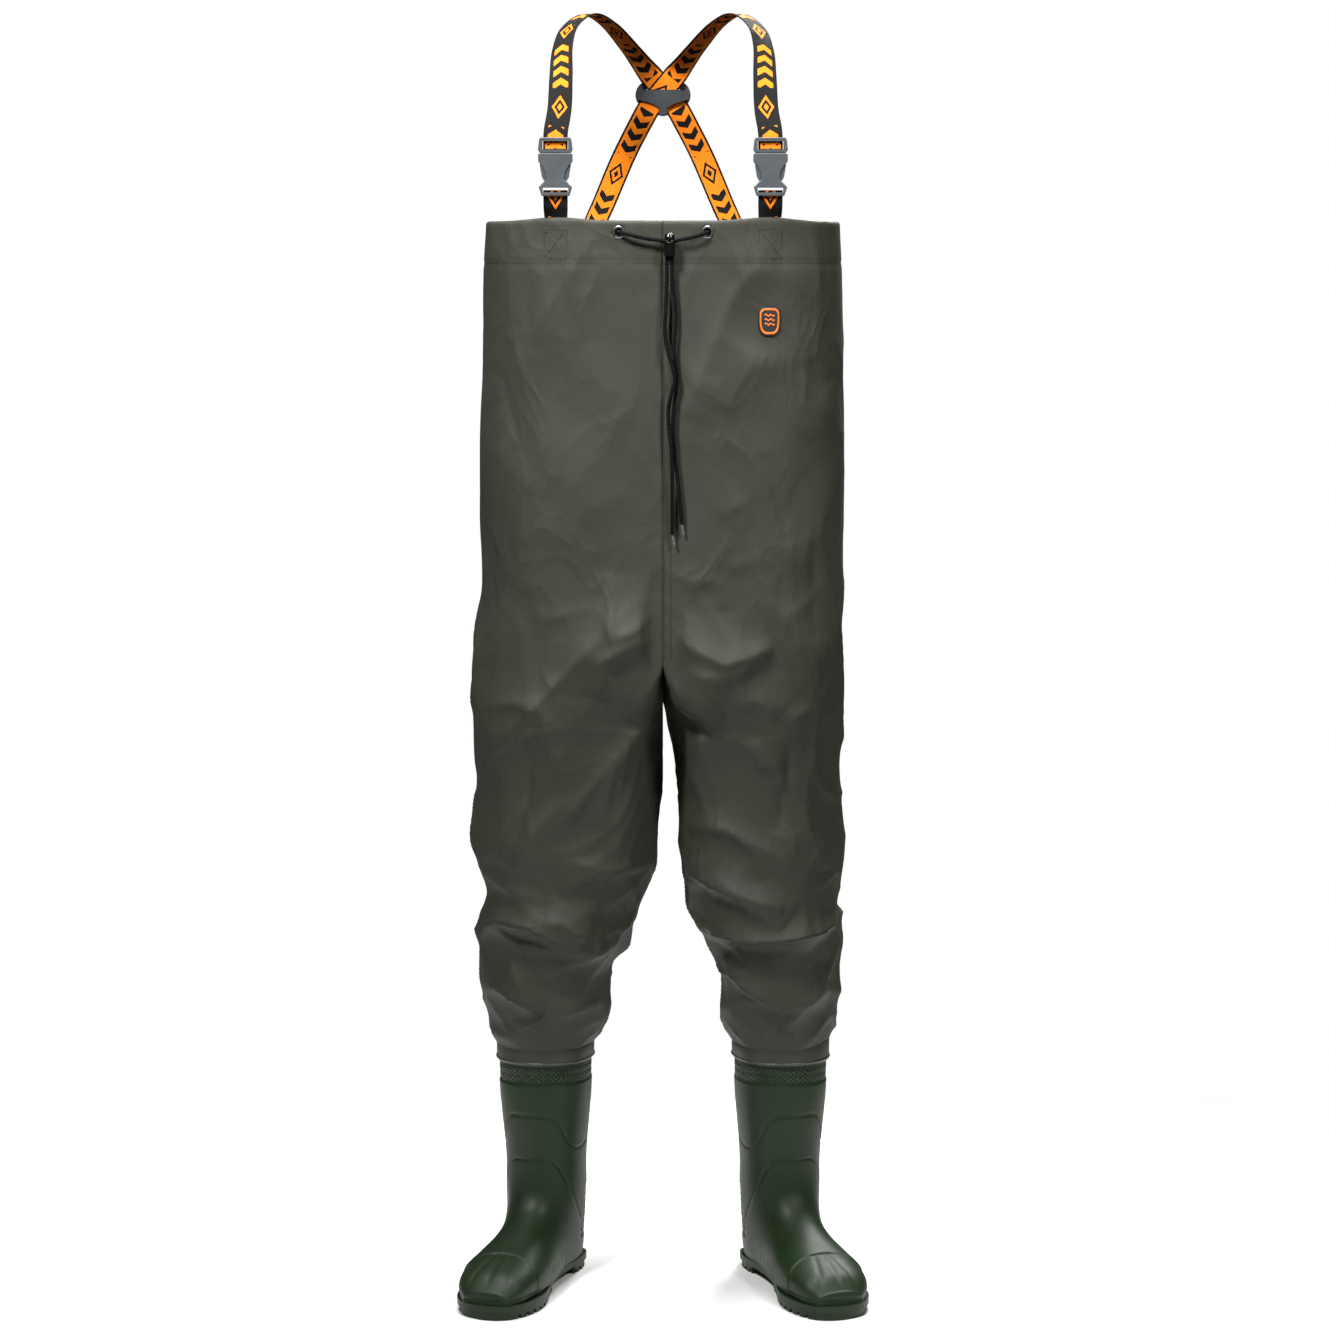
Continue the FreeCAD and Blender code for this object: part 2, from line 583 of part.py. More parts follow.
def make_buckles():
    """Side-release buckle: a housing on the stub, a plug on the brace, two sprung prongs.

    The housing is moulded in one; its walls are stored as a front and a back, a slotted
    foot and the two posts at the sides of its mouth.
    """
    half = buckle_width / 2.0
    x, z = buckle_x, buckle_bottom_z
    right_side = [(half - 4.0, 0.0), (half - 0.5, 11.0), (half - 9.5, 20.0), (half - 9.0, 29.0),
                  (half - 5.0, 36.0), (half, 42.0), (half, housing_height)]
    outline = [(x + dx, z + dz) for dx, dz in right_side]
    outline += [(x - dx, z + dz) for dx, dz in reversed(right_side)]
    housing = rounded(buckle_outline(outline, buckle_depth), 2.0, along_y)
    housing = rounded(housing, 1.2, on_faces(buckle_depth))
    cavity_half = half - buckle_wall
    cavity_depth = buckle_depth / 2.0 - buckle_wall
    housing = housing.cut(box(x - cavity_half, x + cavity_half, buckle_y - cavity_depth,
                              buckle_y + cavity_depth, z + 14.0, z + housing_height + 1.0))
    slot_half = webbing_width / 2.0 + 0.8
    housing = housing.cut(box(x - slot_half, x + slot_half, buckle_y - webbing_thickness,
                              buckle_y + buckle_depth, z - 1.0, z + 11.0))
    housing = housing.cut(box(x - slot_half, x + slot_half, buckle_y - buckle_depth,
                              buckle_y + buckle_depth, z + 4.5, z + 10.0))
    reach = buckle_depth
    for name, y0, y1 in (("front", -reach, -cavity_depth), ("back", cavity_depth, reach)):
        add_pair("buckle_housing_" + name, housing.common(
            box(x - half, x + half, buckle_y + y0, buckle_y + y1, z, z + housing_height)))
    core = housing.common(box(x - half, x + half, buckle_y - cavity_depth,
                              buckle_y + cavity_depth, z, z + housing_height))
    add_pair("buckle_housing_foot", core.common(
        box(x - half, x + half, buckle_y - reach, buckle_y + reach, z, z + 20.0)))
    for name, x0, x1 in (("outer", x, x + half), ("inner", x - half, x)):
        add_pair("buckle_housing_post_" + name, core.common(
            box(x0, x1, buckle_y - reach, buckle_y + reach, z + 20.0, z + housing_height)))

    base = z + housing_height + 0.3
    top = base + plug_frame_height
    plug_depth = 7.0
    frame = [(half - 2.0, base), (half + 0.3, base + 4.0), (half - 1.2, top - 2.5),
             (half - 3.0, top)]
    outline = [(x + dx, pz) for dx, pz in frame] + [(x - dx, pz) for dx, pz in reversed(frame)]
    plug = rounded(buckle_outline(outline, plug_depth), 1.5, along_y)
    plug = rounded(plug, 1.0, on_faces(plug_depth))
    window = box(x - slot_half, x + slot_half, buckle_y - 8.0, buckle_y + 8.0,
                 base + plug_bar, top - plug_bar)
    plug = plug.cut(window)
    behind_bar = box(x - slot_half, x + slot_half, buckle_y + 1.6, buckle_y + 8.0,
                     base + plug_bar, top + 1.0)
    plug = plug.cut(behind_bar)
    add_pair("buckle_plug", plug)
    tongue = box(x - 4.0, x + 4.0, buckle_y - 2.0, buckle_y + 2.0, base - 24.0, base)
    add_pair("buckle_tongue", rounded(tongue, 1.0, along_y))

    root_x = cavity_half - prong_clearance
    prong_top = base - 0.9
    for name, side in (("outer", 1), ("inner", -1)):
        arm = [(root_x - prong_width, prong_top), (root_x, prong_top),
               (root_x, base - 16.0), (root_x - 2.2, base - 29.0), (root_x - 5.0, base - prong_length),
               (root_x - 8.5, base - prong_length), (root_x - 8.0, base - 24.0)]
        points = [(x + side * dx, pz) for dx, pz in arm]
        prong = rounded(buckle_outline(points, 2.0 * cavity_depth - 2.0 * prong_clearance),
                        0.8, along_y)
        add_pair("buckle_prong_" + name, prong)


# ---- cross plate ----------------------------------------------------------------------------
def flat_piece(outline, y0, y1):
    """Plate with a straight-sided outline given about the cross plate's centre."""
    corners = [V(u, y0, plate_z + v) for u, v in outline]
    return Part.Face(Part.makePolygon(corners + corners[:1])).extrude(V(0, y1 - y0, 0))


def make_cross_plate():
    """Lobed plastic plate that keeps the braces crossed.

    A ring lies behind the two straps and a raised bridge with a stem lies in front of
    them; blocks at the sides and at the foot of the stem join the two levels.
    """
    half_w, half_h = plate_width / 2.0, plate_height / 2.0
    rim = [(0.0, 1.0), (0.42, 0.93), (0.83, 0.70), (1.0, 0.12), (0.86, -0.42), (0.45, -0.70),
           (0.17, -1.0)]
    ring = rim + [(-u, v) for u, v in reversed(rim[1:])]

    def lobed(scale):
        curve = Part.BSplineCurve()
        curve.interpolate(Points=[V(u * half_w * scale, plate_y, plate_z + v * half_h * scale)
                                  for u, v in ring], PeriodicFlag=True)
        return Part.Face(Part.Wire([curve.toShape()])).extrude(V(0, plate_wall, 0))

    back = lobed(1.0).cut(lobed(plate_window))
    front_face = plate_y - strap_pass
    side, foot, stem_half = half_w * 0.96, half_h, 3.4
    right_half = [(5.0, -foot), (5.0, -14.0), (14.0, -9.0), (side, -3.0), (side, 6.0), (20.0, 9.0)]
    outline = right_half + [(-u, v) for u, v in reversed(right_half)]
    bridge = flat_piece(outline, front_face - plate_wall, front_face)
    plate = back.fuse(bridge)
    for sign in (-1, 1):
        plate = plate.fuse(box(*sorted((sign * (side - 4.5), sign * side)), front_face - 0.5,
                               plate_y + 0.5, plate_z - 0.5, plate_z + 6.0))
    stem = box(-stem_half, stem_half, front_face - 0.5, plate_y + 0.5, plate_z - foot,
               plate_z - foot + 2.4)
    SHAPES["brace_cross_plate"] = plate.fuse(stem).removeSplitter()


# ---- badge ----------------------------------------------------------------------------------
def badge_shape(width, height, y0, y1):
    """Shield-like rounded patch, wider at the top."""
    w, h = width / 2.0, height / 2.0
    rim = [(0.0, h), (w * 0.8, h * 0.95), (w, h * 0.62), (w * 0.94, -h * 0.25),
           (w * 0.6, -h * 0.78)]
    ring = rim + [(0.0, -h)] + [(-u, v) for u, v in reversed(rim[1:])]
    curve = Part.BSplineCurve()
    curve.interpolate(Points=[V(u, y0, v) for u, v in ring], PeriodicFlag=True)
    return Part.Face(Part.Wire([curve.toShape()])).extrude(V(0, y1 - y0, 0))


def make_badge():
    """Moulded rubber patch on the left chest: a dark ground, a raised rim and three waves."""
    lean = surface_turn(badge_x, badge_z)
    base = badge_shape(badge_width, badge_height, -badge_thickness, 0.0)
    rim = badge_shape(badge_width - 2.4, badge_height - 2.4, -badge_thickness - badge_relief,
                      -badge_thickness)
    rim = rim.cut(badge_shape(badge_width - 7.0, badge_height - 7.0,
                              -badge_thickness - 2.0, 1.0))
    for row in (6.0, 0.0, -6.0):
        wave = [(-6.5, row - 0.6), (-3.2, row + 1.4), (0.0, row - 0.6), (3.2, row + 1.4),
                (6.5, row - 0.6)]
        upper = [V(u, -badge_thickness - badge_relief, v + 1.2) for u, v in wave]
        lower = [V(u, -badge_thickness - badge_relief, v - 1.2) for u, v in reversed(wave)]
        face = Part.Face(Part.makePolygon(upper + lower + upper[:1]))
        rim = rim.fuse(face.extrude(V(0, badge_relief, 0)))
    seat = V(badge_x, front_y(badge_x, badge_z) - 1.0, badge_z)
    for name, shape in (("chest_badge", base), ("chest_badge_relief", rim)):
        shape.rotate(V(0, 0, 0), V(0, 0, 1), lean)
        shape.translate(seat)
        SHAPES[name] = shape


# ---- boots ----------------------------------------------------------------------------------
# side profile of the upper in the boot's own frame: front or top point, back or bottom point
# (each forward of the shaft's axis and up), half width, and roundness of the section
def boot_sections():
    """Sections fan from the level rim round the instep to the upright toe."""
    back = heel_back
    toe = foot_length - heel_back
    rim, side = shaft_half_depth, shaft_half_width
    return [((rim, boot_rim_z), (-rim, boot_rim_z), side, 2.2),
            ((rim - 3.0, 235.0), (-rim + 2.0, 232.0), side - 2.5, 2.2),
            ((rim - 9.0, 168.0), (-rim + 6.0, 160.0), side - 8.5, 2.2),
            ((rim - 6.0, 128.0), (-back + 6.0, 105.0), side - 9.5, 2.2),
            ((rim + 5.0, 106.0), (-back, 52.0), side - 13.0, 2.2),
            ((rim + 22.0, 92.0), (-back + 10.0, 4.0), side - 15.0, 2.3),
            ((rim + 46.0, 80.0), (8.0, 6.0), ball_half_width - 8.0, 2.4),
            ((toe - 82.0, 69.0), (toe - 146.0, 5.0), ball_half_width - 2.0, 2.5),
            ((toe - 52.0, 61.0), (toe - 86.0, 5.0), ball_half_width, 2.6),
            ((toe - 24.0, 51.0), (toe - 36.0, 5.0), ball_half_width - 6.0, 2.6),
            ((toe - 6.0, 36.0), (toe - 9.0, 5.0), ball_half_width - 20.0, 2.5)]


def boot_section_wire(front, back, half, power, inset):
    count = 9
    centre = V(0, -(front[0] + back[0]) / 2.0, (front[1] + back[1]) / 2.0)
    reach = V(0, -(front[0] - back[0]) / 2.0, (front[1] - back[1]) / 2.0)
    length = reach.Length
    reach = reach.normalize() * (length - inset)
    side = V(half - inset, 0, 0)

    def at(angle):
        c, s = math.cos(angle), math.sin(angle)
        return (centre + reach * math.copysign(abs(c) ** (2.0 / power), c)
                + side * math.copysign(abs(s) ** (2.0 / power), s))

    first = [at(math.pi * i / (count - 1)) for i in range(count)]
    second = [at(math.pi + math.pi * i / (count - 1)) for i in range(count)]
    return two_edge_wire(first, second)


def boot_solid(inset, floor):
    """The boot's outer shape moved inwards by inset and cut level at floor."""
    sections = boot_sections()
    wires = []
    if inset > 0:
        front, back, half, power = sections[0]
        wires.append(boot_section_wire((front[0], front[1] + 5.0), (back[0], back[1] + 5.0),
                                       half, power, inset))
        sections = sections[:-1] + [((sections[-1][0][0] - inset, sections[-1][0][1] - inset),
                                     (sections[-1][1][0] - inset, sections[-1][1][1]),
                                     sections[-1][2], sections[-1][3])]
    wires += [boot_section_wire(*section, inset) for section in sections]
    solid = Part.makeLoft(wires, True, True)
    keep = box(-200, 200, -400, 200, floor, boot_rim_z + 20.0)
    return solid.common(keep)


def sole_outline(margin):
    """Closed plan of the sole, a margin outside the upper; the inner side is straighter."""
    toe = foot_length - heel_back
    ball = ball_half_width
    plan = [(-heel_back, 0.0), (-heel_back + 8.0, 27.0), (-heel_back + 34.0, 37.0),
            (4.0, 36.0), (toe - 132.0, 42.0), (toe - 84.0, ball), (toe - 40.0, ball - 5.0),
            (toe - 10.0, ball - 25.0), (toe, 0.0), (toe - 8.0, -ball + 24.0),
            (toe - 38.0, -ball + 6.0), (toe - 82.0, -ball + 1.0), (toe - 132.0, -38.0),
            (4.0, -34.0), (-heel_back + 34.0, -36.0), (-heel_back + 8.0, -27.0)]
    centre = (toe - heel_back) / 2.0
    points = []
    for forward, lateral in plan:
        grow_f = math.copysign(margin, forward - centre) * min(abs(forward - centre) / 120.0, 1.0)
        grow_l = math.copysign(margin, lateral) if abs(lateral) > 1.0 else 0.0
        points.append(V(lateral + grow_l, -(forward + grow_f), 0))
    curve = Part.BSplineCurve()
    curve.interpolate(Points=points, PeriodicFlag=True)
    return Part.Face(Part.Wire([curve.toShape()]))


def plate_from(face, z0, z1):
    plate = face.extrude(V(0, 0, z1 - z0))
    plate.translate(V(0, 0, z0))
    return plate


def place_boot(shape):
    """Turn a boot piece outwards and stand it under the left leg."""
    shape.rotate(V(0, 0, 0), V(0, 0, 1), boot_splay)
    shape.translate(V(boot_x, 0, 0))
    return shape


def make_boots():
    """Moulded boot: upper with a floor, cleated outsole, textile lining, loose insole."""
    toe = foot_length - heel_back
    upper = boot_solid(0.0, sole_top)
    hollow = boot_solid(boot_wall, sole_top + boot_wall)
    bead = boot_section_wire(*boot_sections()[0], -rim_bead)
    bead = Part.Face(bead).extrude(V(0, 0, -5.0))
    add_pair("boot_upper", place_boot(upper.fuse(bead).cut(hollow)))

    lining_inset = boot_wall + 0.1
    lined = lining_inset + boot_lining_wall
    lining = boot_solid(lining_inset, sole_top + lining_inset)
    lining = lining.cut(boot_solid(lined, sole_top + lined))
    lining = lining.common(box(-200, 200, -400, 200, 0, boot_rim_z - 3.0))
    add_pair("boot_lining", place_boot(lining))

    outline = sole_outline(sole_margin)
    slab = plate_from(outline, sole_top - sole_slab, sole_top)
    tread = plate_from(sole_outline(sole_margin - 2.0), 0.0, sole_top - sole_slab)
    arch = box(-200, 200, -(toe - 146.0), 6.0, -1.0, sole_top - sole_slab)
    tread = tread.cut(arch)
    pitch = lug_width + lug_gap
    for start, end in ((-heel_back + lug_width + 4.0, -12.0), (toe - 136.0, toe - 20.0)):
        for i in range(int((end - start) / pitch) + 1):
            forward = start + i * pitch
            tread = tread.cut(box(-200, 200, -forward - lug_gap, -forward, -1.0, 5.0))
    add_pair("boot_outsole", place_boot(slab.fuse(tread).removeSplitter()))

    bed = sole_top + lined + 0.1
    footbed = plate_from(sole_outline(-lined - 5.0), bed, bed + insole_thickness)
    footbed = footbed.common(boot_solid(lined + 0.4, bed))
    add_pair("boot_insole", place_boot(footbed))


def make_cuffs():
    """Welded band where each leg meets its boot."""
    wires = []
    for grow in (0.2, 0.2 + cuff_wall):
        pair = []
        for z in (boot_rim_z + 0.3, boot_rim_z + cuff_height):
            pair.append(leg_section(z, boot_x - shaft_half_width - grow,
                                    boot_x + shaft_half_width + grow,
                                    shaft_half_depth + grow, boot_splay))
        wires.append(Part.makeLoft(pair, True, True))
    add_pair("leg_cuff_band", wires[1].cut(wires[0]))


# ---- build and export -----------------------------------------------------------------------
def export_all():
    """Centre the model over its own footprint and write one file per piece."""
    boxes = [s.optimalBoundingBox(False, False) for n, s in SHAPES.items()
             if n not in CORD_NODES]
    middle = (min(b.YMin for b in boxes) + max(b.YMax for b in boxes)) / 2.0
    print("moved along Y by %.3f mm" % -middle)
    for name, shape in SHAPES.items():
        shape.translate(V(0, -middle, 0))
        shape.exportStep("parts/%s.step" % name)
        print("%-24s solids %d valid %s volume cm3 %.2f"
              % (name, len(shape.Solids), shape.isValid(), shape.Volume / 1000.0))


make_fabric()
make_hem()
make_seam_tape()
make_eyelets()
make_cords()
make_cord_lock()
make_straps()
make_buckles()
make_cross_plate()
make_badge()
make_boots()
make_cuffs()
export_all()
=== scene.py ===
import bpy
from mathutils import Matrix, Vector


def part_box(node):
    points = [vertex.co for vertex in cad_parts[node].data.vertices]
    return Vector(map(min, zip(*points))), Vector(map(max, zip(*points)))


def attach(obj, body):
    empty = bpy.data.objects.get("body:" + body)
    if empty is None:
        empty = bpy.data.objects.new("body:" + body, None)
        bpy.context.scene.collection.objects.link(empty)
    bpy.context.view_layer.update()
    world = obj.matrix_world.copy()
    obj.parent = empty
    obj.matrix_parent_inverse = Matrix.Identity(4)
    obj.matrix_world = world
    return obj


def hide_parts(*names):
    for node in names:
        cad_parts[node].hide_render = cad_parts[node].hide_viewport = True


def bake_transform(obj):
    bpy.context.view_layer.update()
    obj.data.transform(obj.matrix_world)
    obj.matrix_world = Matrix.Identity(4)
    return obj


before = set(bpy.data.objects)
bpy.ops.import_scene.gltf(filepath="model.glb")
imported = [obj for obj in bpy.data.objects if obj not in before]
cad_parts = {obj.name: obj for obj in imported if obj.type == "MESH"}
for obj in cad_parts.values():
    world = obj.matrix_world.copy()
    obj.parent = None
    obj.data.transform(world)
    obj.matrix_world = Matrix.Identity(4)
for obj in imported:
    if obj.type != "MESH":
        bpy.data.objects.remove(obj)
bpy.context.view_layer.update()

import math

import bpy
import numpy as np

# ---- Floor, light and camera --------------------------------------------------------------
# A square of pale card under soft boxes in a white room. The waders stand on it, held open as
# if worn, and a long lens looks slightly down at the chest.
MM = 0.001
hem_low, hem_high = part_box("hem_casing")
torso_y = (hem_low.y + hem_high.y) / 2
CAMERA_DISTANCE = 4.5
CAMERA_HEIGHT = 1.305
CAMERA_PITCH = 6.42
LENS = 95.8


def linear(hex_colour):
    """Linear RGBA of an sRGB hex colour: each channel c is ((c + 0.055) / 1.055) ** 2.4."""
    channels = [int(hex_colour[i:i + 2], 16) / 255 for i in (1, 3, 5)]
    return [c / 12.92 if c <= 0.04045 else ((c + 0.055) / 1.055) ** 2.4 for c in channels] + [1.0]


def wave_scale(period):
    """Scale of a wave texture whose bands repeat every period: pi / (10 * period)."""
    return math.pi / (10 * period)


def blank_material(name):
    """A material with an empty node tree."""
    material = bpy.data.materials.new(name)
    material.use_nodes = True
    material.node_tree.nodes.clear()
    return material


def add_node(material, kind, inputs=None, out=0, **settings):
    """Add one node and return an output of it. An input is a value or the output feeding it."""
    tree = material.node_tree
    node = tree.nodes.new("ShaderNode" + kind)
    for name, value in settings.items():
        setattr(node, name, value)
    for name, value in (inputs or {}).items():
        if isinstance(value, bpy.types.NodeSocket):
            tree.links.new(value, node.inputs[name])
        else:
            node.inputs[name].default_value = value
    return node.outputs[out] if len(node.outputs) else None


def make_surface(name, points, uv, materials, around=False, flip=False, caps=False,
                 keep=None, slots=None):
    """Mesh of quads over a grid of points, row by row.

    around joins the last column to the first, caps closes both end rows with a fan, or only
    the last row if it is "last", keep leaves quads out and slots gives each quad its material.
    The uv grid has one more column than the points when the grid goes around.
    """
    rows, columns = points.shape[:2]
    across = columns if around else columns - 1
    row, column = np.meshgrid(np.arange(rows - 1), np.arange(across), indexing="ij")
    after = (column + 1) % columns
    quads = np.stack([row * columns + column, row * columns + after,
                      (row + 1) * columns + after, (row + 1) * columns + column], -1)
    wide = uv.shape[1]
    corners = np.stack([row * wide + column, row * wide + column + 1,
                        (row + 1) * wide + column + 1, (row + 1) * wide + column], -1)
    if flip:
        quads, corners = quads[..., ::-1], corners[..., ::-1]
    chosen = np.ones(row.shape, bool) if keep is None else keep
    quads, corners = quads[chosen], corners[chosen]
    index = np.zeros(len(quads), int) if slots is None else slots[chosen]
    vertices = points.reshape(-1, 3)
    used, quads = np.unique(quads, return_inverse=True)
    quads = quads.reshape(-1, 4)
    vertices = vertices[used]
    faces = quads.tolist()
    coordinates = uv.reshape(-1, 2)[corners.reshape(-1)]
    if caps:
        ends = [(0, flip), (rows - 1, not flip)]
        for ring, turned in ends[1:] if caps == "last" else ends:
            centre = len(vertices)
            vertices = np.vstack([vertices, points[ring].mean(0)])
            rim = np.arange(columns) + ring * columns
            fan = np.stack([rim, np.roll(rim, -1), np.full(columns, centre)], -1)
            fan = fan if turned else fan[:, ::-1]
            faces += fan.tolist()
            coordinates = np.vstack([coordinates, np.repeat(uv[ring, :1], 3 * columns, 0)])
            index = np.concatenate([index, np.zeros(columns, int)])
    mesh = bpy.data.meshes.new(name)
    mesh.from_pydata(vertices.tolist(), [], faces)
    mesh.polygons.foreach_set("use_smooth", np.ones(len(faces), bool))
    mesh.polygons.foreach_set("material_index", index.astype(np.int32))
    mesh.uv_layers.new(name="UVMap").uv.foreach_set("vector", coordinates.ravel())
    for material in materials:
        mesh.materials.append(material)
    mesh.update()
    piece = bpy.data.objects.new(name, mesh)
    bpy.context.scene.collection.objects.link(piece)
    return piece


def soft_box(name, place, aim, size, power, grid=180):
    """A square area light at place, turned to face aim, with a grid that narrows its beam."""
    light = bpy.data.lights.new(name, "AREA")
    light.size = size
    light.energy = power
    light.spread = math.radians(grid)
    holder = bpy.data.objects.new(name, light)
    bpy.context.scene.collection.objects.link(holder)
    holder.location = place
    direction = holder.location - type(holder.location)(aim)
    holder.rotation_mode = "QUATERNION"
    holder.rotation_quaternion = direction.to_track_quat("Z", "Y")


card = blank_material("matt white card")
card_shader = add_node(card, "BsdfPrincipled", {"Base Color": linear("#F4F4F2"), "Roughness": 0.9,
                                                "Specular IOR Level": 0.1})
add_node(card, "OutputMaterial", {"Surface": card_shader})
FLOOR_HALF = 1.0
floor_points = np.zeros((2, 2, 3))
floor_points[..., 0] = [[-FLOOR_HALF, FLOOR_HALF]]
floor_points[..., 1] = [[-FLOOR_HALF], [FLOOR_HALF]]
floor = make_surface("floor_card", floor_points, np.zeros((2, 2, 2)), [card])

soft_box("key_box", (-1.2, -1.7, 3.2), (0, 0, 1.25), 0.6, 13.6, 52)
soft_box("fill_box", (1.6, -2.1, 2.8), (0, 0, 1.2), 0.6, 7.4, 54)
soft_box("back_box", (0.9, 2.2, 3.0), (0, 0, 1.1), 0.8, 15, 62)
soft_box("top_box", (0, 0.2, 4.2), (0, 0.2, 0), 1.6, 92, 120)
# the room's walls are far away and white: seen directly they are bright, but little of their
# light reaches the waders
world = bpy.data.worlds.new("studio_air")
bpy.context.scene.world = world
world.use_nodes = True
world_tree = world.node_tree
seen = world_tree.nodes.new("ShaderNodeLightPath").outputs["Is Camera Ray"]
brightness = world_tree.nodes.new("ShaderNodeMapRange")
brightness.inputs["To Min"].default_value = 0.04
world_tree.links.new(seen, brightness.inputs["Value"])
world_tree.nodes["Background"].inputs["Color"].default_value = (1.0, 1.0, 1.0, 1.0)
world_tree.links.new(brightness.outputs[0], world_tree.nodes["Background"].inputs["Strength"])
bpy.context.scene.view_settings.view_transform = "Standard"

camera_data = bpy.data.cameras.new("camera")
camera_data.lens = LENS
camera = bpy.data.objects.new("camera", camera_data)
bpy.context.scene.collection.objects.link(camera)
camera.location = (1.9 * MM, torso_y - CAMERA_DISTANCE, CAMERA_HEIGHT)
camera.rotation_euler = (math.radians(90 - CAMERA_PITCH), 0, 0)
bpy.context.scene.camera = camera

# ---- Drawcord -----------------------------------------------------------------------------
# One length of black braided polyester cord, 5 mm thick. It runs inside the hem, comes out of
# the two eyelets, and its ends hang together from the cord lock with a tip crimped on each.
CORD_RADIUS = 2.5 * MM
BRAID_PITCH = 4.4 * MM
LEFT_TAIL = [(66.5, -129.7, 1347.0), (54.9, -129.9, 1347.0), (54.6, -143.2, 1346.7),
             (44.5, -147.6, 1343.2), (33.0, -148.3, 1339.8), (22.0, -148.1, 1337.9),
             (14.3, -147.6, 1336.0), (11.1, -147.3, 1329.0), (11.12, -147.3, 1314.0),
             (11.1, -147.3, 1286.0), (15.6, -146.8, 1257.0), (15.9, -146.6, 1230.0),
             (12.6, -147.0, 1203.0), (16.6, -146.6, 1179.0), (17.3, -146.4, 1158.0),
             (13.8, -146.8, 1137.0), (12.4, -147.2, 1113.0), (13.9, -147.0, 1084.0),
             (16.5, -147.2, 1055.0), (20.9, -147.0, 1021.0), (23.2, -147.2, 989.0)]
RIGHT_TAIL = [(-66.5, -129.7, 1347.0), (-54.9, -129.9, 1347.0), (-54.6, -143.2, 1346.9),
              (-44.0, -147.6, 1344.6), (-32.0, -148.4, 1341.4), (-18.0, -148.6, 1338.6),
              (-6.5, -148.2, 1337.2), (1.7, -147.6, 1336.0), (4.9, -147.3, 1329.0),
              (4.88, -147.3, 1314.0), (4.9, -147.3, 1286.0), (3.6, -147.6, 1252.0),
              (1.9, -148.6, 1225.0), (5.4, -152.0, 1203.0), (12.4, -153.4, 1182.0),
              (15.4, -153.3, 1165.0), (9.9, -152.2, 1149.0), (5.9, -149.0, 1130.0),
              (7.2, -150.4, 1109.0), (10.4, -151.9, 1086.0), (11.7, -150.7, 1050.0),
              (10.9, -148.2, 1017.0), (11.5, -147.3, 976.0)]


def in_frame(points):
    """Points given in mm about the torso's middle, in the frame's metres."""
    return np.array(points, float) * MM + np.array([0.0, torso_y, 0.0])


def spline_line(points):
    """Points read along the NURBS curve that has these control points."""
    curve = bpy.data.curves.new("route", "CURVE")
    curve.dimensions = "3D"
    spline = curve.splines.new("NURBS")
    spline.points.add(len(points) - 1)
    spline.points.foreach_set("co", np.column_stack([points, np.ones(len(points))]).ravel())
    spline.order_u = 3
    spline.use_endpoint_u = True
    spline.resolution_u = 24
    holder = bpy.data.objects.new("route", curve)
    mesh = bpy.data.meshes.new_from_object(holder)
    line = np.zeros(len(mesh.vertices) * 3)
    mesh.vertices.foreach_get("co", line)
    bpy.data.objects.remove(holder)
    return line.reshape(-1, 3)


def evenly(line, spacing):
    """The line at even spacing, with the distance along it at each point."""
    gone = np.concatenate([[0.0], np.cumsum(np.linalg.norm(np.diff(line, axis=0), axis=1))])
    at = np.linspace(0.0, gone[-1], int(gone[-1] / spacing) + 2)
    return np.stack([np.interp(at, gone, line[:, k]) for k in range(3)], -1), at


def unit(vectors):
    """Each vector divided by its length."""
    return vectors / np.linalg.norm(vectors, axis=-1, keepdims=True)


def tube(name, line, at, radius, sides, materials):
    """Round tube: the point at angle a is the line's point + radius(a, s) times the turned normal."""
    tangent = unit(np.gradient(line, axis=0))
    normal = unit(np.cross(tangent, unit(np.array([1.0, -1.0, 1.0]))))
    binormal = np.cross(tangent, normal)
    angle = np.linspace(0, 2 * math.pi, sides + 1)
    a = angle[None, :-1]
    r = radius(a, at[:, None])[..., None]
    points = line[:, None] + r * (np.cos(a)[..., None] * normal[:, None]
                                  + np.sin(a)[..., None] * binormal[:, None])
    uv = np.stack(np.broadcast_arrays(angle[None, :] * CORD_RADIUS, at[:, None]), -1)
    return make_surface(name, points, uv, materials, around=True, flip=True, caps=True)


def braid_radius(angle, along):
    """Two sets of four strands wind opposite ways; the outer of the two stands proud."""
    turn = 2 * math.pi * along / (4 * BRAID_PITCH)
    one = np.cos(2 * (angle + turn)) ** 2
    other = np.cos(2 * (angle - turn)) ** 2
    return CORD_RADIUS * (0.7 + 0.33 * np.maximum(one, other) ** 2)


# braided polyester: matt black filament yarn with a faint sheen along its strands
braid = blank_material("braided black polyester cord")
braid_uv = add_node(braid, "TexCoord", out="UV")
braid_fibre = add_node(braid, "Mapping", {"Vector": braid_uv, "Rotation": (0, 0, 0.6),
                                          "Scale": (1 / (0.5 * MM), 1 / (4 * MM), 1.0)})
braid_noise = add_node(braid, "TexNoise", {"Vector": braid_fibre, "Scale": 1.0, "Detail": 2.0})
braid_colour = add_node(braid, "ValToRGB", {"Fac": braid_noise})
braid_ramp = braid.node_tree.nodes[-1].color_ramp
braid_ramp.elements[0].color = linear("#040404")
braid_ramp.elements[1].color = linear("#0F0F10")
braid_bump = add_node(braid, "Bump", {"Height": braid_noise, "Strength": 0.4,
                                      "Distance": 0.2 * MM})
braid_shader = add_node(braid, "BsdfPrincipled", {
    "Base Color": braid_colour, "Roughness": 0.78, "Specular IOR Level": 0.1,
    "Normal": braid_bump})
add_node(braid, "OutputMaterial", {"Surface": braid_shader})

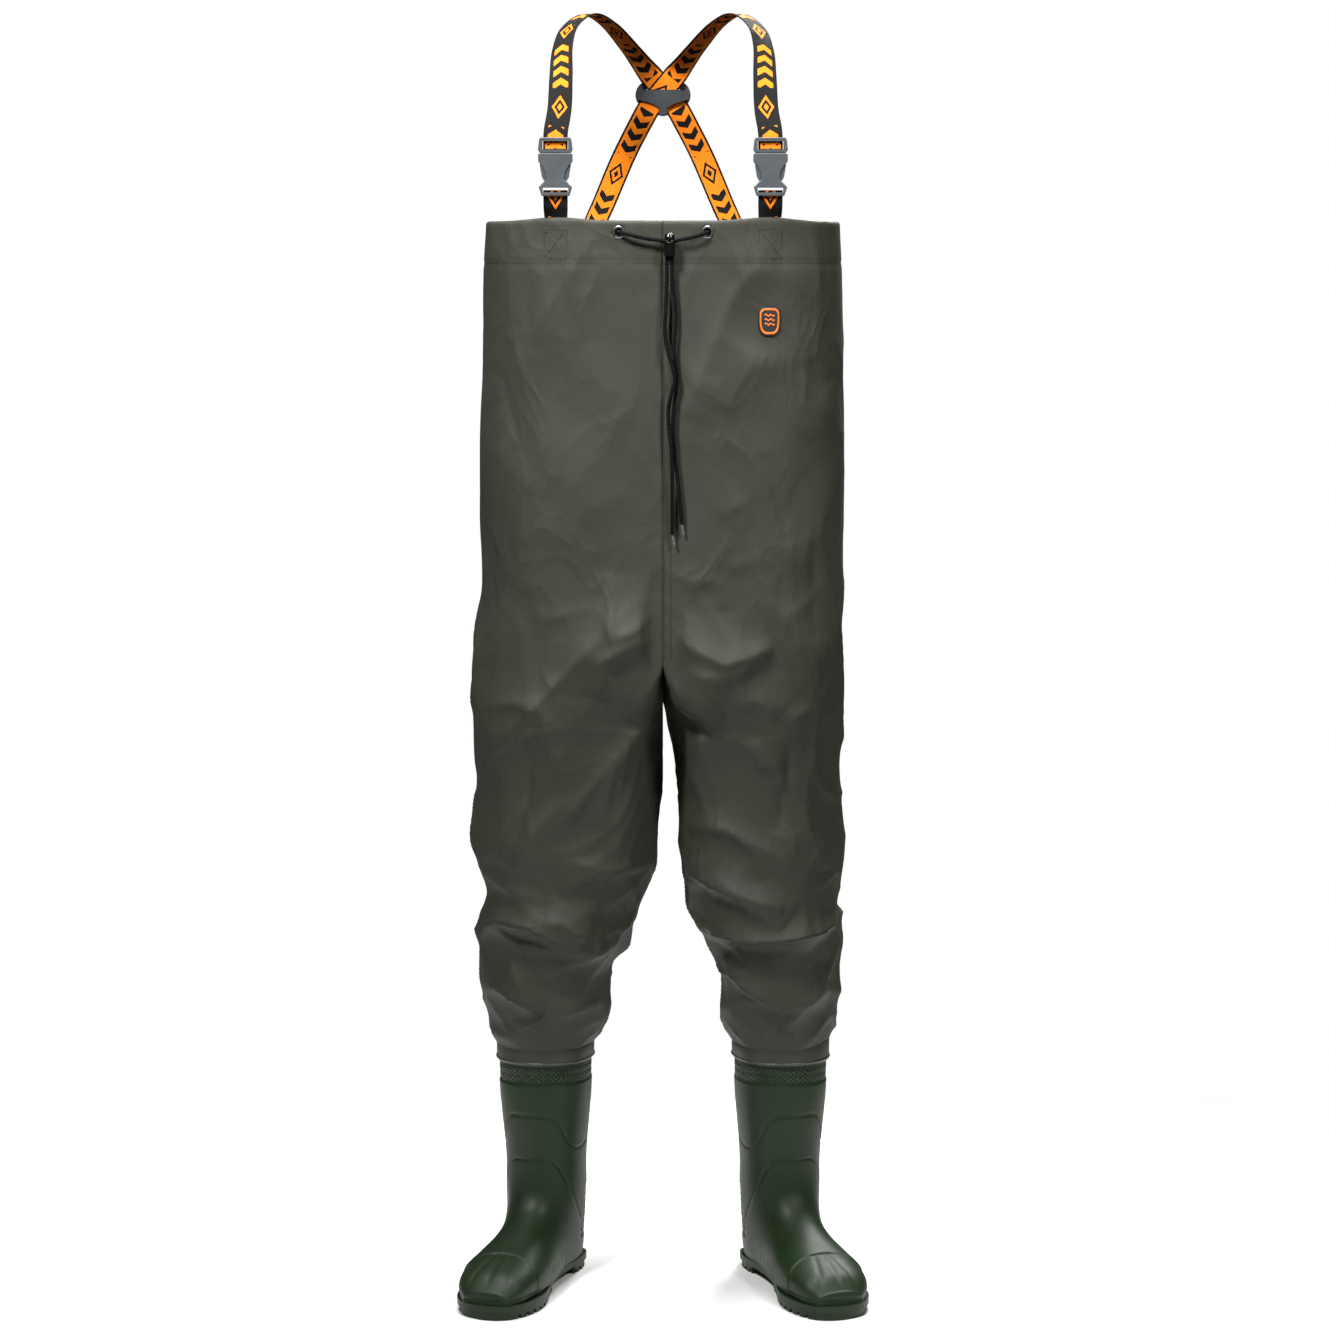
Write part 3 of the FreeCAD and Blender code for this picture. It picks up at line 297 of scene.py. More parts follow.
def mottled(name, dark, light, scale, detail=2.0, gloss=0.5, relief=None, finish=None):
    """A material with one noise: it mottles the colour from dark to light, spreads the roughness
    over gloss if that is a pair, and raises the surface by relief, a strength and a depth."""
    material = blank_material(name)
    noise = add_node(material, "TexNoise", {"Vector": add_node(material, "TexCoord", out="Object"),
                                            "Scale": scale, "Detail": detail})
    inputs = {"Base Color": linear(dark), "Roughness": gloss}
    if light != dark:
        inputs["Base Color"] = add_node(material, "Mix", {0: noise, 6: linear(dark),
                                                          7: linear(light)},
                                        out=2, data_type="RGBA")
    if isinstance(gloss, tuple):
        inputs["Roughness"] = add_node(material, "MapRange", {"Value": noise, "To Min": gloss[0],
                                                              "To Max": gloss[1]})
    if relief:
        inputs["Normal"] = add_node(material, "Bump", {"Height": noise, "Strength": relief[0],
                                                       "Distance": relief[1]})
    inputs.update(finish or {})
    shader = add_node(material, "BsdfPrincipled", inputs)
    add_node(material, "OutputMaterial", {"Surface": shader})
    return material


# heat-shrunk tip: milky translucent polyolefin, smooth and a little glossy
tip = mottled("clear polyolefin cord tip", "#3C3D3C", "#6E6F6D", 400.0, 1.0, gloss=0.25,
              finish={"Coat Weight": 0.3})


def give(node_name, material):
    """Put a material on a CAD node."""
    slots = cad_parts[node_name].data.materials
    slots.clear()
    slots.append(material)


for side, route in (("left", LEFT_TAIL), ("right", RIGHT_TAIL)):
    line, at = evenly(spline_line(in_frame(route)), 0.6 * MM)
    tail = tube(side + "_drawcord", line, at, braid_radius, 32, [braid])
    give(side + "_cord_aglet", tip)
    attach(tail, "root")
    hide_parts(side + "_drawcord_tail")
give("drawcord_hem_run", braid)

# ---- Fabric body --------------------------------------------------------------------------
# Two mirror-image panels of PVC-coated nylon cloth, each one half of the trunk and one leg.
# They are welded together down the front, under the crotch and up the back.
hem_z = hem_high.z / MM + 0.5
crotch_z = 816.0
boot_rim_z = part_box("left_boot_upper")[1].z / MM
STITCH_Z = hem_z - 54.0
CLOTH = 0.6 * MM
SPLAY = 19.0
TRUNK_ROUNDNESS = 2.8
LEG_ROUNDNESS = 2.2
TRUNK_DEPTH = [(crotch_z, 141.0), (hem_z, 138.0)]
TRUNK_WIDTH = {"left": [(816, 223), (882, 227), (1035, 230), (1157, 228), (1308, 225),
                        (hem_z, 222.5)],
               "right": [(816, 238), (882, 230), (1035, 231), (1157, 228), (1308, 225),
                         (hem_z, 222.5)]}
LEG_INNER = {"left": [(285, 93), (309, 93), (351, 80), (383, 80), (414, 79), (446, 59), (477, 43),
                      (509, 35), (545, 31), (571, 28), (634, 31), (696, 22), (758, 8), (816, 0)],
             "right": [(285, 93), (309, 93), (351, 78), (383, 75), (414, 76), (446, 49),
                       (477, 43), (509, 27), (571, 15), (634, 14), (696, 9), (758, 4), (816, 0)]}
LEG_OUTER = {"left": [(285, 211), (309, 211), (351, 212), (383, 216), (414, 220), (446, 223),
                      (463, 219), (477, 214), (509, 220), (571, 225), (634, 217), (696, 218),
                      (758, 222), (816, 223)],
             "right": [(285, 211), (309, 211), (351, 217), (383, 222), (414, 231), (446, 231),
                       (477, 224), (509, 218), (545, 229), (571, 236), (634, 236), (696, 237),
                       (758, 240), (816, 238)]}
LEG_DEPTH = [(285, 65), (309, 65), (345, 75), (400, 88), (445, 98), (500, 104), (570, 112),
             (690, 126), (760, 135), (816, 141)]
# creases on the front: points (across, up) in mm, lift, then reach on the right and the left
FRONT_CREASES = [
    ([(113, 1343), (111, 1305), (86, 1268), (66, 1223), (46, 1166), (27, 1121)], 4.5, 14, 46),
    ([(148, 1272), (141, 1317), (151, 1352)], -2.6, 8, 14),
    ([(74, 1125), (91, 1158), (113, 1183), (111, 1223)], 2.4, 9, 30),
    ([(-161, 1195), (-167, 1252), (-163, 1305)], -2.2, 10, 16),
    ([(-94, 1215), (-102, 1264), (-114, 1313)], 2.2, 12, 26),
    ([(-215, 1183), (-196, 1154), (-180, 1080), (-197, 1060)], -4.5, 12, 18),
    ([(-197, 1068), (-203, 1018), (-214, 957), (-221, 894)], -5.0, 14, 10),
    ([(159, 961), (140, 1027), (128, 1076)], -3.0, 16, 22),
    ([(181, 1191), (197, 1158), (218, 1174)], -3.5, 10, 12),
    ([(66, 998), (87, 1006), (103, 1018)], 2.4, 7, 18),
    ([(21, 911), (50, 917), (66, 915), (69, 882)], 3.4, 7, 22),
    ([(79, 928), (98, 938), (116, 944)], 2.4, 7, 18),
    ([(190, 965), (186, 894), (189, 840)], -3.5, 9, 14),
    ([(-61, 928), (-66, 890), (-70, 853)], 2.6, 12, 24),
    ([(-70, 847), (-49, 849), (-33, 856), (2, 886)], 5.0, 8, 26),
    ([(-77, 775), (-74, 815), (-41, 836), (0, 846)], 8.0, 10, 34),
    ([(13, 848), (50, 826), (75, 813), (100, 822), (137, 838)], 6.5, 9, 30),
    ([(29, 806), (67, 795), (91, 803), (135, 834)], 5.0, 12, 16),
    ([(-8, 791), (-33, 766), (-58, 711), (-75, 652), (-77, 605)], 6.5, 12, 34),
    ([(-14, 703), (-41, 639), (-67, 572)], 5.0, 10, 26),
    ([(-225, 753), (-183, 762), (-150, 751), (-140, 707), (-123, 656)], 3.6, 9, 24),
    ([(-188, 563), (-169, 635), (-167, 673), (-162, 720)], -4.0, 10, 18),
    ([(-178, 546), (-159, 601), (-129, 635), (-104, 622)], 4.0, 10, 26),
    ([(-130, 523), (-96, 542), (-58, 550), (-12, 551)], 7.5, 8, 36),
    ([(-147, 489), (-126, 486), (-113, 474), (-96, 466)], 6.5, 6, 20),
    ([(-229, 446), (-212, 466), (-197, 478), (-163, 476), (-138, 465), (-106, 453)], 12.0, 7, 34),
    ([(-182, 446), (-130, 450), (-78, 446), (-60, 452)], 8.5, 6, 22),
    ([(-153, 405), (-117, 435), (-76, 443)], 7.0, 9, 14),
    ([(-208, 401), (-189, 392), (-158, 367)], 6.5, 7, 20),
    ([(-160, 367), (-176, 405), (-193, 431)], 5.0, 8, 18),
    ([(-183, 335), (-156, 353), (-105, 367), (-78, 369)], 5.5, 7, 18),
    ([(9, 778), (42, 762), (71, 751)], 6.0, 8, 26),
    ([(38, 644), (59, 703), (71, 751)], 4.5, 12, 30),
    ([(88, 762), (117, 766), (138, 745)], 3.6, 8, 20),
    ([(113, 720), (122, 686), (155, 677)], 3.2, 8, 18),
    ([(155, 736), (168, 747), (182, 757)], 2.6, 7, 16),
    ([(147, 597), (153, 652), (159, 715)], -4.0, 8, 14),
    ([(199, 673), (201, 745)], -3.0, 8, 12),
    ([(30, 599), (84, 603), (114, 580), (132, 546)], 5.5, 9, 24),
    ([(28, 549), (84, 526), (148, 481)], 8.5, 7, 30),
    ([(72, 544), (114, 518), (147, 503)], 4.5, 7, 14),
    ([(52, 474), (85, 466), (114, 463), (177, 462), (222, 470)], 15.0, 5, 40),
    ([(78, 433), (114, 394), (135, 382), (173, 370)], 8.0, 6, 26),
    ([(171, 370), (188, 395), (204, 420)], 5.0, 8, 16),
    ([(152, 339), (177, 371), (207, 394)], 6.0, 8, 18),
]
# deeper folds that run round a whole leg: height, tilt, lift, reach below and above
LEG_ROLLS = {"left": [(468, 4, 7.0, 7, 30), (392, -16, 5.0, 9, 22), (545, 12, 4.0, 10, 34),
                      (335, 8, 3.0, 8, 16)],
             "right": [(470, -10, 6.0, 8, 30), (440, 8, 4.5, 8, 20), (380, 14, 4.0, 9, 20),
                       (545, -8, 4.0, 10, 34), (338, -9, 3.0, 8, 16)]}


def curve_through(table, heights):
    """Smooth value at each height: a table's straight runs averaged over 24 mm of height."""
    known = np.array(table, float)
    offsets = np.linspace(-12, 12, 7)
    return np.mean([np.interp(heights + o, known[:, 0], known[:, 1]) for o in offsets], axis=0)


def smooth_step(share):
    """0 before 0, 1 after 1 and 3t^2 - 2t^3 between."""
    t = np.clip(share, 0.0, 1.0)
    return t * t * (3 - 2 * t)


def superellipse(angle, half_width, half_depth, roundness):
    """Rounded rectangle: each axis is its half size times the sign and the 2/n power of cos, sin."""
    c, s = np.cos(angle), np.sin(angle)
    return (half_width * np.sign(c) * np.abs(c) ** (2 / roundness),
            half_depth * np.sign(s) * np.abs(s) ** (2 / roundness))


def even_angles(count, half_width, half_depth, roundness):
    """Angles from the front to the back that divide the section's outline evenly."""
    fine = np.linspace(-math.pi / 2, math.pi / 2, 1500)
    x, y = superellipse(fine, half_width, half_depth, roundness)
    gone = np.concatenate([[0.0], np.cumsum(np.hypot(np.diff(x), np.diff(y)))])
    return np.interp(np.linspace(0, gone[-1], count), gone, fine)


def hem_rise(x):
    """The hem's top edge stands a little higher where the front straps hold it."""
    return 4.0 * np.exp(-((np.abs(x) - buckle_x) / 38.0) ** 2) - 1.0


def crease_heights(across, up, creases):
    """Sum of sharp crests. Each falls off as exp(-d / reach) from its line of points and fades
    out at the line's ends; its reach differs on the right and the left of the line."""
    total = np.zeros_like(across)
    for points, lift, right_reach, left_reach in creases:
        path = np.array(points, float)
        steps = np.diff(path, axis=0)
        lengths = np.hypot(steps[:, 0], steps[:, 1])
        begun = np.concatenate([[0.0], np.cumsum(lengths)])
        best = np.full(across.shape, np.inf)
        signed = np.zeros_like(across)
        share = np.zeros_like(across)
        for start, step, length, before in zip(path, steps, lengths, begun):
            dx, dz = across - start[0], up - start[1]
            t = np.clip((dx * step[0] + dz * step[1]) / length ** 2, 0.0, 1.0)
            distance = np.hypot(dx - t * step[0], dz - t * step[1])
            nearer = distance < best
            left = np.where(step[0] * dz - step[1] * dx > 0, 1.0, -1.0)
            best = np.where(nearer, distance, best)
            signed = np.where(nearer, distance * left, signed)
            share = np.where(nearer, (before + t * length) / begun[-1], share)
        reach = np.where(signed > 0, left_reach, right_reach)
        fade = np.sin(math.pi * np.clip(share, 0, 1)) ** 0.55
        total += lift * np.exp(-np.hypot(best, 1.5) / reach) * fade
    return total


def crumple(x, y, z, wavelength, slant, seed):
    """Creases where a random wave crosses zero: exp(-1.5 |n|), with n a sum of fourteen sines of
    about one wavelength, drawn out along the direction slant."""
    chance = np.random.default_rng(seed)
    total = np.zeros_like(x)
    for _ in range(14):
        wave = chance.normal(size=3)
        wave /= np.linalg.norm(wave)
        wave -= 0.6 * np.dot(wave, slant) * np.array(slant)
        wave *= 2 * math.pi / (wavelength * chance.uniform(0.75, 1.5))
        total += np.sin(x * wave[0] + y * wave[1] + z * wave[2] + chance.uniform(0, 2 * math.pi))
    return np.exp(-1.5 * np.hypot(total / math.sqrt(7), 0.05))


def small_creases(side, count):
    """Short shallow creases scattered over a panel, the same every time."""
    chance = np.random.default_rng({"left": 11, "right": 23}[side])
    creases = []
    for _ in range(count):
        across, up = chance.uniform(30, 690), chance.uniform(330, 1290)
        tilt = chance.normal(0.9, 0.55) * chance.choice([-1, 1])
        length = chance.uniform(28, 95)
        bend = chance.normal(0, 9)
        dx, dz = length * math.cos(tilt), length * math.sin(tilt)
        low = 1.5 if up < 850 else 0.8
        creases.append(([(across, up), (across + dx / 2 - bend * math.sin(tilt),
                                        up + dz / 2 + bend * math.cos(tilt)),
                         (across + dx, up + dz)],
                        chance.uniform(0.5, 1.0) * low, chance.uniform(7, 11),
                        chance.uniform(14, 30)))
    return creases


buckle_low, buckle_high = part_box("left_buckle_plug")
buckle_x = (buckle_low.x + buckle_high.x) / 2 / MM
badge_low, badge_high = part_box("chest_badge")
BADGE_X, BADGE_Z = (badge_low.x + badge_high.x) / 2 / MM, (badge_low.z + badge_high.z) / 2 / MM
OUTER_COLUMNS, INNER_COLUMNS = 150, 56
roll_in = [(4.5, 0.0), (2.4, -0.2), (0.8, -1.4), (0.0, -4.0)]
trunk_heights = np.concatenate([[hem_z + drop for inset, drop in roll_in],
                                np.linspace(hem_z - 8, crotch_z, 110)])
leg_heights = np.linspace(crotch_z, boot_rim_z - 3, 120)[1:]
heights = np.concatenate([trunk_heights, leg_heights])
insets = np.zeros(len(heights))
insets[:len(roll_in)] = [inset for inset, drop in roll_in]
trunk_angles = even_angles(OUTER_COLUMNS, 226, 140, TRUNK_ROUNDNESS)


def trunk_section(side, z, inset):
    """Half of the trunk at each height: a superellipse from the front seam to the back seam."""
    width = curve_through(TRUNK_WIDTH[side], z) - inset
    depth = curve_through(TRUNK_DEPTH, z) - inset
    return superellipse(trunk_angles[None, :], width[:, None], depth[:, None], TRUNK_ROUNDNESS)


def cloth_panel(side):
    """Grid of one panel in mm, before its folds: trunk sections open on the centre plane, that
    turn below the crotch into closed leg sections."""
    z = heights[:, None]
    outer_x, outer_y = trunk_section(side, heights, insets)
    depth = curve_through(TRUNK_DEPTH, heights)[:, None]
    inner_share = (np.arange(INNER_COLUMNS) + 1) / (INNER_COLUMNS + 1)
    flat_x = np.zeros((len(heights), INNER_COLUMNS))
    flat_y = depth * (1 - 2 * inner_share[None, :])
    trunk_x = np.hstack([outer_x, flat_x])
    trunk_y = np.hstack([outer_y, flat_y])
    inner, outer = (curve_through(t[side], heights)[:, None] for t in (LEG_INNER, LEG_OUTER))
    split = math.radians(120)
    angle = np.concatenate([np.linspace(-split, split, OUTER_COLUMNS),
                            split + 2 * (math.pi - split) * inner_share])[None, :]
    x, y = superellipse(angle, (outer - inner) / 2, curve_through(LEG_DEPTH, heights)[:, None],
                        LEG_ROUNDNESS)
    turn = np.radians(SPLAY) * smooth_step((350 - z) / 45)
    leg_x = (outer + inner) / 2 + x * np.cos(turn) - y * np.sin(turn)
    leg_y = x * np.sin(turn) + y * np.cos(turn)
    below = smooth_step((crotch_z - z) / 90)
    x = trunk_x + (leg_x - trunk_x) * below
    y = trunk_y + (leg_y - trunk_y) * below
    up = z + hem_rise(x) * smooth_step((z - STITCH_Z) / (hem_z - STITCH_Z))
    return np.stack(np.broadcast_arrays(x, y, up), -1)


def outward(grid):
    """Unit normals of a grid from the cross product of its two directions."""
    return unit(np.cross(np.gradient(grid, axis=0), np.gradient(grid, axis=1)))


def leg_rolls(side, angle, z):
    """Crests round the leg at height h + tilt * cos(angle), sharp below and soft above."""
    total = np.zeros(np.broadcast(angle, z).shape)
    for height, tilt, lift, below, above in LEG_ROLLS[side]:
        d = z - (height + tilt * np.cos(angle) + 5 * np.sin(2 * angle + height))
        reach = np.where(d > 0, above, below)
        total += lift * np.exp(-(np.abs(d) / reach) ** 1.4) * (0.6 + 0.4 * np.sin(angle + height))
    return total


def folded_panel(side):
    """The panel pushed out along its normals by its creases, rolls and slow waves."""
    grid = cloth_panel(side)
    sign = 1 if side == "left" else -1
    x, y, z = grid[..., 0] * sign, grid[..., 1], grid[..., 2]
    normals = outward(grid)
    middle = (curve_through(LEG_INNER[side], z[:, 0]) + curve_through(LEG_OUTER[side], z[:, 0])) / 2
    angle = np.arctan2(y, grid[..., 0] - middle[:, None])
    depth = curve_through(LEG_DEPTH, z[:, 0])[:, None]
    front = smooth_step(0.15 - y / depth * 0.8)
    back = smooth_step(0.15 + y / depth * 0.8)
    leg = smooth_step((900 - z) / 80)
    lift = (1.2 + 0.9 * leg) * crease_heights(x, z, FRONT_CREASES) * front
    mirrored_creases = [([(-px + 12, pz - 9) for px, pz in points], high * 0.85, left, right)
                        for points, high, right, left in FRONT_CREASES]
    lift += 1.2 * crease_heights(x, z, mirrored_creases) * back
    wall = np.linalg.norm(np.diff(grid, axis=1), axis=-1)
    around = np.hstack([np.zeros((len(grid), 1)), np.cumsum(wall, axis=1)])
    lift += crease_heights(around, z, small_creases(side, 90))
    lift += leg_rolls(side, angle, z) * smooth_step((600 - z) / 60) * (1 - 0.75 * front)
    knee = smooth_step((620 - z) / 120)
    creased = 0.22 + 0.78 * smooth_step((930 - z) / 120)
    steep, flat = (0.5 * sign, 0.0, -0.87), (0.94 * sign, 0.0, 0.34)
    lift += creased * (1 - knee) * (10.0 * crumple(x, y, z, 210, steep, 5)
                                    + 4.8 * crumple(x, y, z, 95, steep, 8))
    lift += knee * (8.0 * crumple(x, y, z, 150, flat, 3) + 4.4 * crumple(x, y, z, 75, flat, 4))
    lift += 1.6 * np.sin(around / 47 + z / 160) * np.sin(z / 83 + around / 120)
    lift += 0.9 * np.sin(around / 21 - z / 70 + 2) * np.sin(z / 36 + 1)
    held = smooth_step((hem_z - 8 - z) / 60) * smooth_step((z - boot_rim_z - 14) / 26)
    trunk = smooth_step((z - crotch_z + 50) / 50)
    seam = 1 - trunk * (1 - smooth_step((np.abs(x) - 10) / 22))
    lift = lift * (0.12 + 0.88 * held) * seam * smooth_step((z - boot_rim_z - 6) / 20)
    from_badge = np.hypot(x - BADGE_X, z - BADGE_Z)
    lift *= 1 - (1 - smooth_step((from_badge - 22) / 40)) * (y < 0)
    lift -= 1.1 * np.exp(-((z - STITCH_Z) / 2.6) ** 2)
    grid = grid + normals * lift[..., None]
    grid[..., 0] = np.maximum(grid[..., 0], 0.0)
    return grid, around


# PVC-coated nylon: a tight matt weave under a thin satin coat, olive grey, slightly uneven
cloth = blank_material("pvc coated nylon cloth")
cloth_place = add_node(cloth, "TexCoord", out="Object")
cloth_uv = add_node(cloth, "TexCoord", out="UV")
THREAD = 2.4 * MM                  # real threads lie 0.4 mm apart; drawn coarser to show
cloth_weave = [add_node(cloth, "TexWave", {"Vector": cloth_uv, "Scale": wave_scale(THREAD),
                                           "Distortion": 0.4, "Detail": 1.0,
                                           "Detail Scale": 2.0}, out="Fac",
                        bands_direction=direction) for direction in ("X", "Y")]
cloth_weave = add_node(cloth, "Math", {0: cloth_weave[0], 1: cloth_weave[1]},
                       operation="MULTIPLY")
cloth_cloud = add_node(cloth, "TexNoise", {"Vector": cloth_place, "Scale": 5.5, "Detail": 4.0,
                                           "Roughness": 0.55})
cloth_cockle = add_node(cloth, "TexNoise", {"Vector": cloth_place, "Scale": 34.0, "Detail": 5.0,
                                            "Roughness": 0.6})
cloth_colour = add_node(cloth, "ValToRGB", {"Fac": cloth_cloud})
cloth_ramp = cloth.node_tree.nodes[-1].color_ramp
cloth_ramp.elements[0].position = 0.3
cloth_ramp.elements[0].color = linear("#2F2F27")
cloth_ramp.elements[1].position = 0.7
cloth_ramp.elements[1].color = linear("#36352D")
cloth_wrinkle = add_node(cloth, "TexNoise", {
    "Vector": add_node(cloth, "Mapping", {"Vector": cloth_place, "Rotation": (0.0, 0.5, 0.0),
                                          "Scale": (1.0, 1.0, 0.55)}),
    "Scale": 13.0, "Detail": 2.0, "Roughness": 0.4, "Lacunarity": 2.2, "Offset": 1.0,
    "Gain": 1.6, "Distortion": 0.5}, noise_type="RIDGED_MULTIFRACTAL")
cloth_relief = add_node(cloth, "Bump", {"Height": cloth_wrinkle, "Strength": 0.8,
                                        "Distance": 2.4 * MM})
cloth_relief = add_node(cloth, "Bump", {"Height": cloth_cockle, "Strength": 0.3,
                                        "Distance": 1.0 * MM, "Normal": cloth_relief})
cloth_relief = add_node(cloth, "Bump", {"Height": cloth_weave, "Strength": 0.25,
                                        "Distance": 0.15 * MM, "Normal": cloth_relief})
cloth_gloss = add_node(cloth, "MapRange", {"Value": cloth_cockle, "To Min": 0.55, "To Max": 0.7})
cloth_shader = add_node(cloth, "BsdfPrincipled", {
    "Base Color": cloth_colour, "Roughness": cloth_gloss, "Specular IOR Level": 0.3,
    "Normal": cloth_relief})
add_node(cloth, "OutputMaterial", {"Surface": cloth_shader})


def thicken(piece, thickness):
    """Give a sheet its thickness, inwards from its outer face."""
    solid = piece.modifiers.new("thickness", "SOLIDIFY")
    solid.thickness = thickness
    solid.offset = -1.0


panels = {}
for side in ("left", "right"):
    grid, around = folded_panel(side)
    sign = 1 if side == "left" else -1
    points = grid * np.array([sign, 1.0, 1.0])
    panels[side] = points
    points = in_frame(points)
    eye_low, eye_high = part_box(side + "_eyelet")
    centre = np.array((eye_low + eye_high) / 2)
    wrapped = np.concatenate([points, points[:, :1]], axis=1)
    middles = (wrapped[:-1, :-1] + wrapped[1:, :-1] + wrapped[:-1, 1:] + wrapped[1:, 1:]) / 4
    rows = len(heights) - 1
    keep = np.ones((rows, OUTER_COLUMNS + INNER_COLUMNS), bool)
    keep[:len(trunk_heights) - 1, OUTER_COLUMNS - 1:] = False
    beside = np.hypot(middles[..., 0] - centre[0], middles[..., 2] - centre[2])
    keep &= ~((beside < 5.5 * MM) & (middles[..., 1] < torso_y))
    uv = np.stack([np.hstack([around, around[:, -1:] + 4.0]),
                   np.broadcast_to(heights[:, None], (len(heights), around.shape[1] + 1))], -1) * MM
    panel = make_surface(side + "_fabric_panel", points, uv, [cloth], around=True,
                         flip=side == "left", keep=keep)
    thicken(panel, CLOTH)
    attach(panel, "root")
    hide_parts(side + "_fabric_half")

# ---- Hem and seams ------------------------------------------------------------------------
# The top edge is folded in over the drawcord and sewn down 54 mm below, which makes a channel.
# A welded tape covers the centre seam inside; outside, two rows of black thread run down it.
THREAD_RADIUS = 0.45 * MM
STITCH_LENGTH = 4.2 * MM
FACING = [(4.5, 0.0), (7.4, -0.8), (9.3, -3.0), (10.1, -8.0), (10.1, -26.0), (9.6, -38.0),
          (7.0, -47.0), (4.0, -52.0), (2.6, -54.0)]


def whole_ring(z, inset):
    """The trunk's whole section at each height: the left half, then the right half reversed."""
    left_x, left_y = trunk_section("left", z, inset)
    right_x, right_y = trunk_section("right", z, inset)
    x = np.hstack([left_x, -right_x[:, -2:0:-1]])
    y = np.hstack([left_y, right_y[:, -2:0:-1]])
    up = z[:, None] + hem_rise(x) * smooth_step((z[:, None] - STITCH_Z) / (hem_z - STITCH_Z))
    return in_frame(np.stack([x, y, up], -1))


facing_insets = np.array([inset for inset, drop in FACING])
facing_heights = hem_z + np.array([drop for inset, drop in FACING])
facing_points = whole_ring(facing_heights, facing_insets)
ring_columns = facing_points.shape[1]
facing_uv = np.stack(np.broadcast_arrays(np.arange(ring_columns + 1) * 4.7 * MM,
                                         facing_heights[:, None] * MM), -1)
facing = make_surface("hem_facing", facing_points, facing_uv, [cloth], around=True)
thicken(facing, CLOTH)
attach(facing, "root")
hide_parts("hem_casing")

# polyester sewing thread: a black two-ply yarn, slightly shiny, pulled into the cloth
thread = mottled("black polyester thread", "#17170F", "#2C2B22", 900.0)


def stitch_radius(angle, along):
    """The thread swells in the middle of each stitch and dives into the cloth between two."""
    swell = np.abs(np.sin(math.pi * along / STITCH_LENGTH)) ** 0.5
    return THREAD_RADIUS * (0.35 + 0.65 * swell) * np.ones_like(angle)


def sew(name, lines):
    """Rows of stitches along lines of points, joined as one piece on the fabric."""
    rows = []
    for line in lines:
        line, at = evenly(line, 1.4 * MM)
        rows.append(tube(name, line, at, stitch_radius, 5, [thread]))
    if len(rows) > 1:
        with bpy.context.temp_override(active_object=rows[0], object=rows[0],
                                       selected_editable_objects=rows, selected_objects=rows):
            bpy.ops.object.join()
    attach(rows[0], "root")


def on_panel(side, x, z):
    """Points lying on a panel's front at x and z in mm: the nearest grid point's depth."""
    grid = panels[side][:, :OUTER_COLUMNS // 2].reshape(-1, 3)
    nearest = [np.argmin((grid[:, 0] - px) ** 2 + (grid[:, 2] - pz) ** 2) for px, pz in zip(x, z)]
    return in_frame(np.stack([x, grid[nearest, 1] - 0.1, z], -1))


hem_row = int(np.argmin(np.abs(heights - STITCH_Z)))
hem_line = in_frame(np.vstack([panels["left"][hem_row, :OUTER_COLUMNS],
                               panels["right"][hem_row, OUTER_COLUMNS - 1::-1]]))
sew("hem_stitching", [hem_line])
seam_z = np.linspace(STITCH_Z - 3, crotch_z + 6, 180)
sew("centre_seam_stitching", [on_panel("left", np.full(180, x), seam_z) for x in (1.2, 9.8)])
BOX_HALF, BOX_LOW, BOX_HIGH = 14.0, STITCH_Z + 7, hem_z - 11
for side, sign in (("left", 1), ("right", -1)):
    corners = [(-BOX_HALF, BOX_LOW), (BOX_HALF, BOX_LOW), (BOX_HALF, BOX_HIGH),
               (-BOX_HALF, BOX_HIGH), (-BOX_HALF, BOX_LOW), (BOX_HALF, BOX_HIGH)]
    crossing = [(-BOX_HALF, BOX_HIGH), (BOX_HALF, BOX_LOW)]
    box_lines = []
    for corner_list in (corners, crossing):
        x, z = np.array([(sign * buckle_x + cx, cz) for cx, cz in corner_list]).T
        steps = np.linspace(0, len(x) - 1, 24 * (len(x) - 1) + 1)
        box_lines.append(on_panel(side, np.interp(steps, range(len(x)), x),
                                  np.interp(steps, range(len(z)), z)))
    sew(side + "_strap_box_stitching", box_lines)

# welded seam tape: thin polyurethane film, smoother and darker than the cloth
give("centre_seam_tape", mottled("polyurethane seam tape", "#2B2B26", "#38382F", 60.0, 3.0,
                                 gloss=0.38, relief=(0.3, 0.4 * MM)))

# ---- Eyelets ------------------------------------------------------------------------------
# Two brass eyelets with washers, nickel plated in a barrel, clenched through the hem's front.
# nickel plate: a slightly warm bright metal with a fine tumbled haze
nickel = mottled("nickel plated brass", "#B4B8BC", "#B4B8BC", 700.0, 3.0, gloss=(0.18, 0.36),
                 relief=(0.1, 0.1 * MM), finish={"Metallic": 1.0})
for side in ("left", "right"):
    give(side + "_eyelet", nickel)
    give(side + "_eyelet_washer", nickel)

# ---- Cord lock ----------------------------------------------------------------------------
# A small sprung toggle in black ABS. Pressing its cap lets the two strands slide through.
# polished ABS: deep black with a clear gloss and the faintest ripple from the mould
abs_black = mottled("glossy black abs", "#0B0B0C", "#0B0B0C", 90.0, gloss=(0.14, 0.24),
                    relief=(0.08, 0.3 * MM))
give("cord_lock_body", abs_black)
give("cord_lock_button", abs_black)
# spring wire: drawn steel whose gloss changes along the wire
give("cord_lock_spring", mottled("drawn spring steel", "#8E9093", "#8E9093", 1500.0,
                                 gloss=(0.25, 0.45), finish={"Metallic": 1.0}))

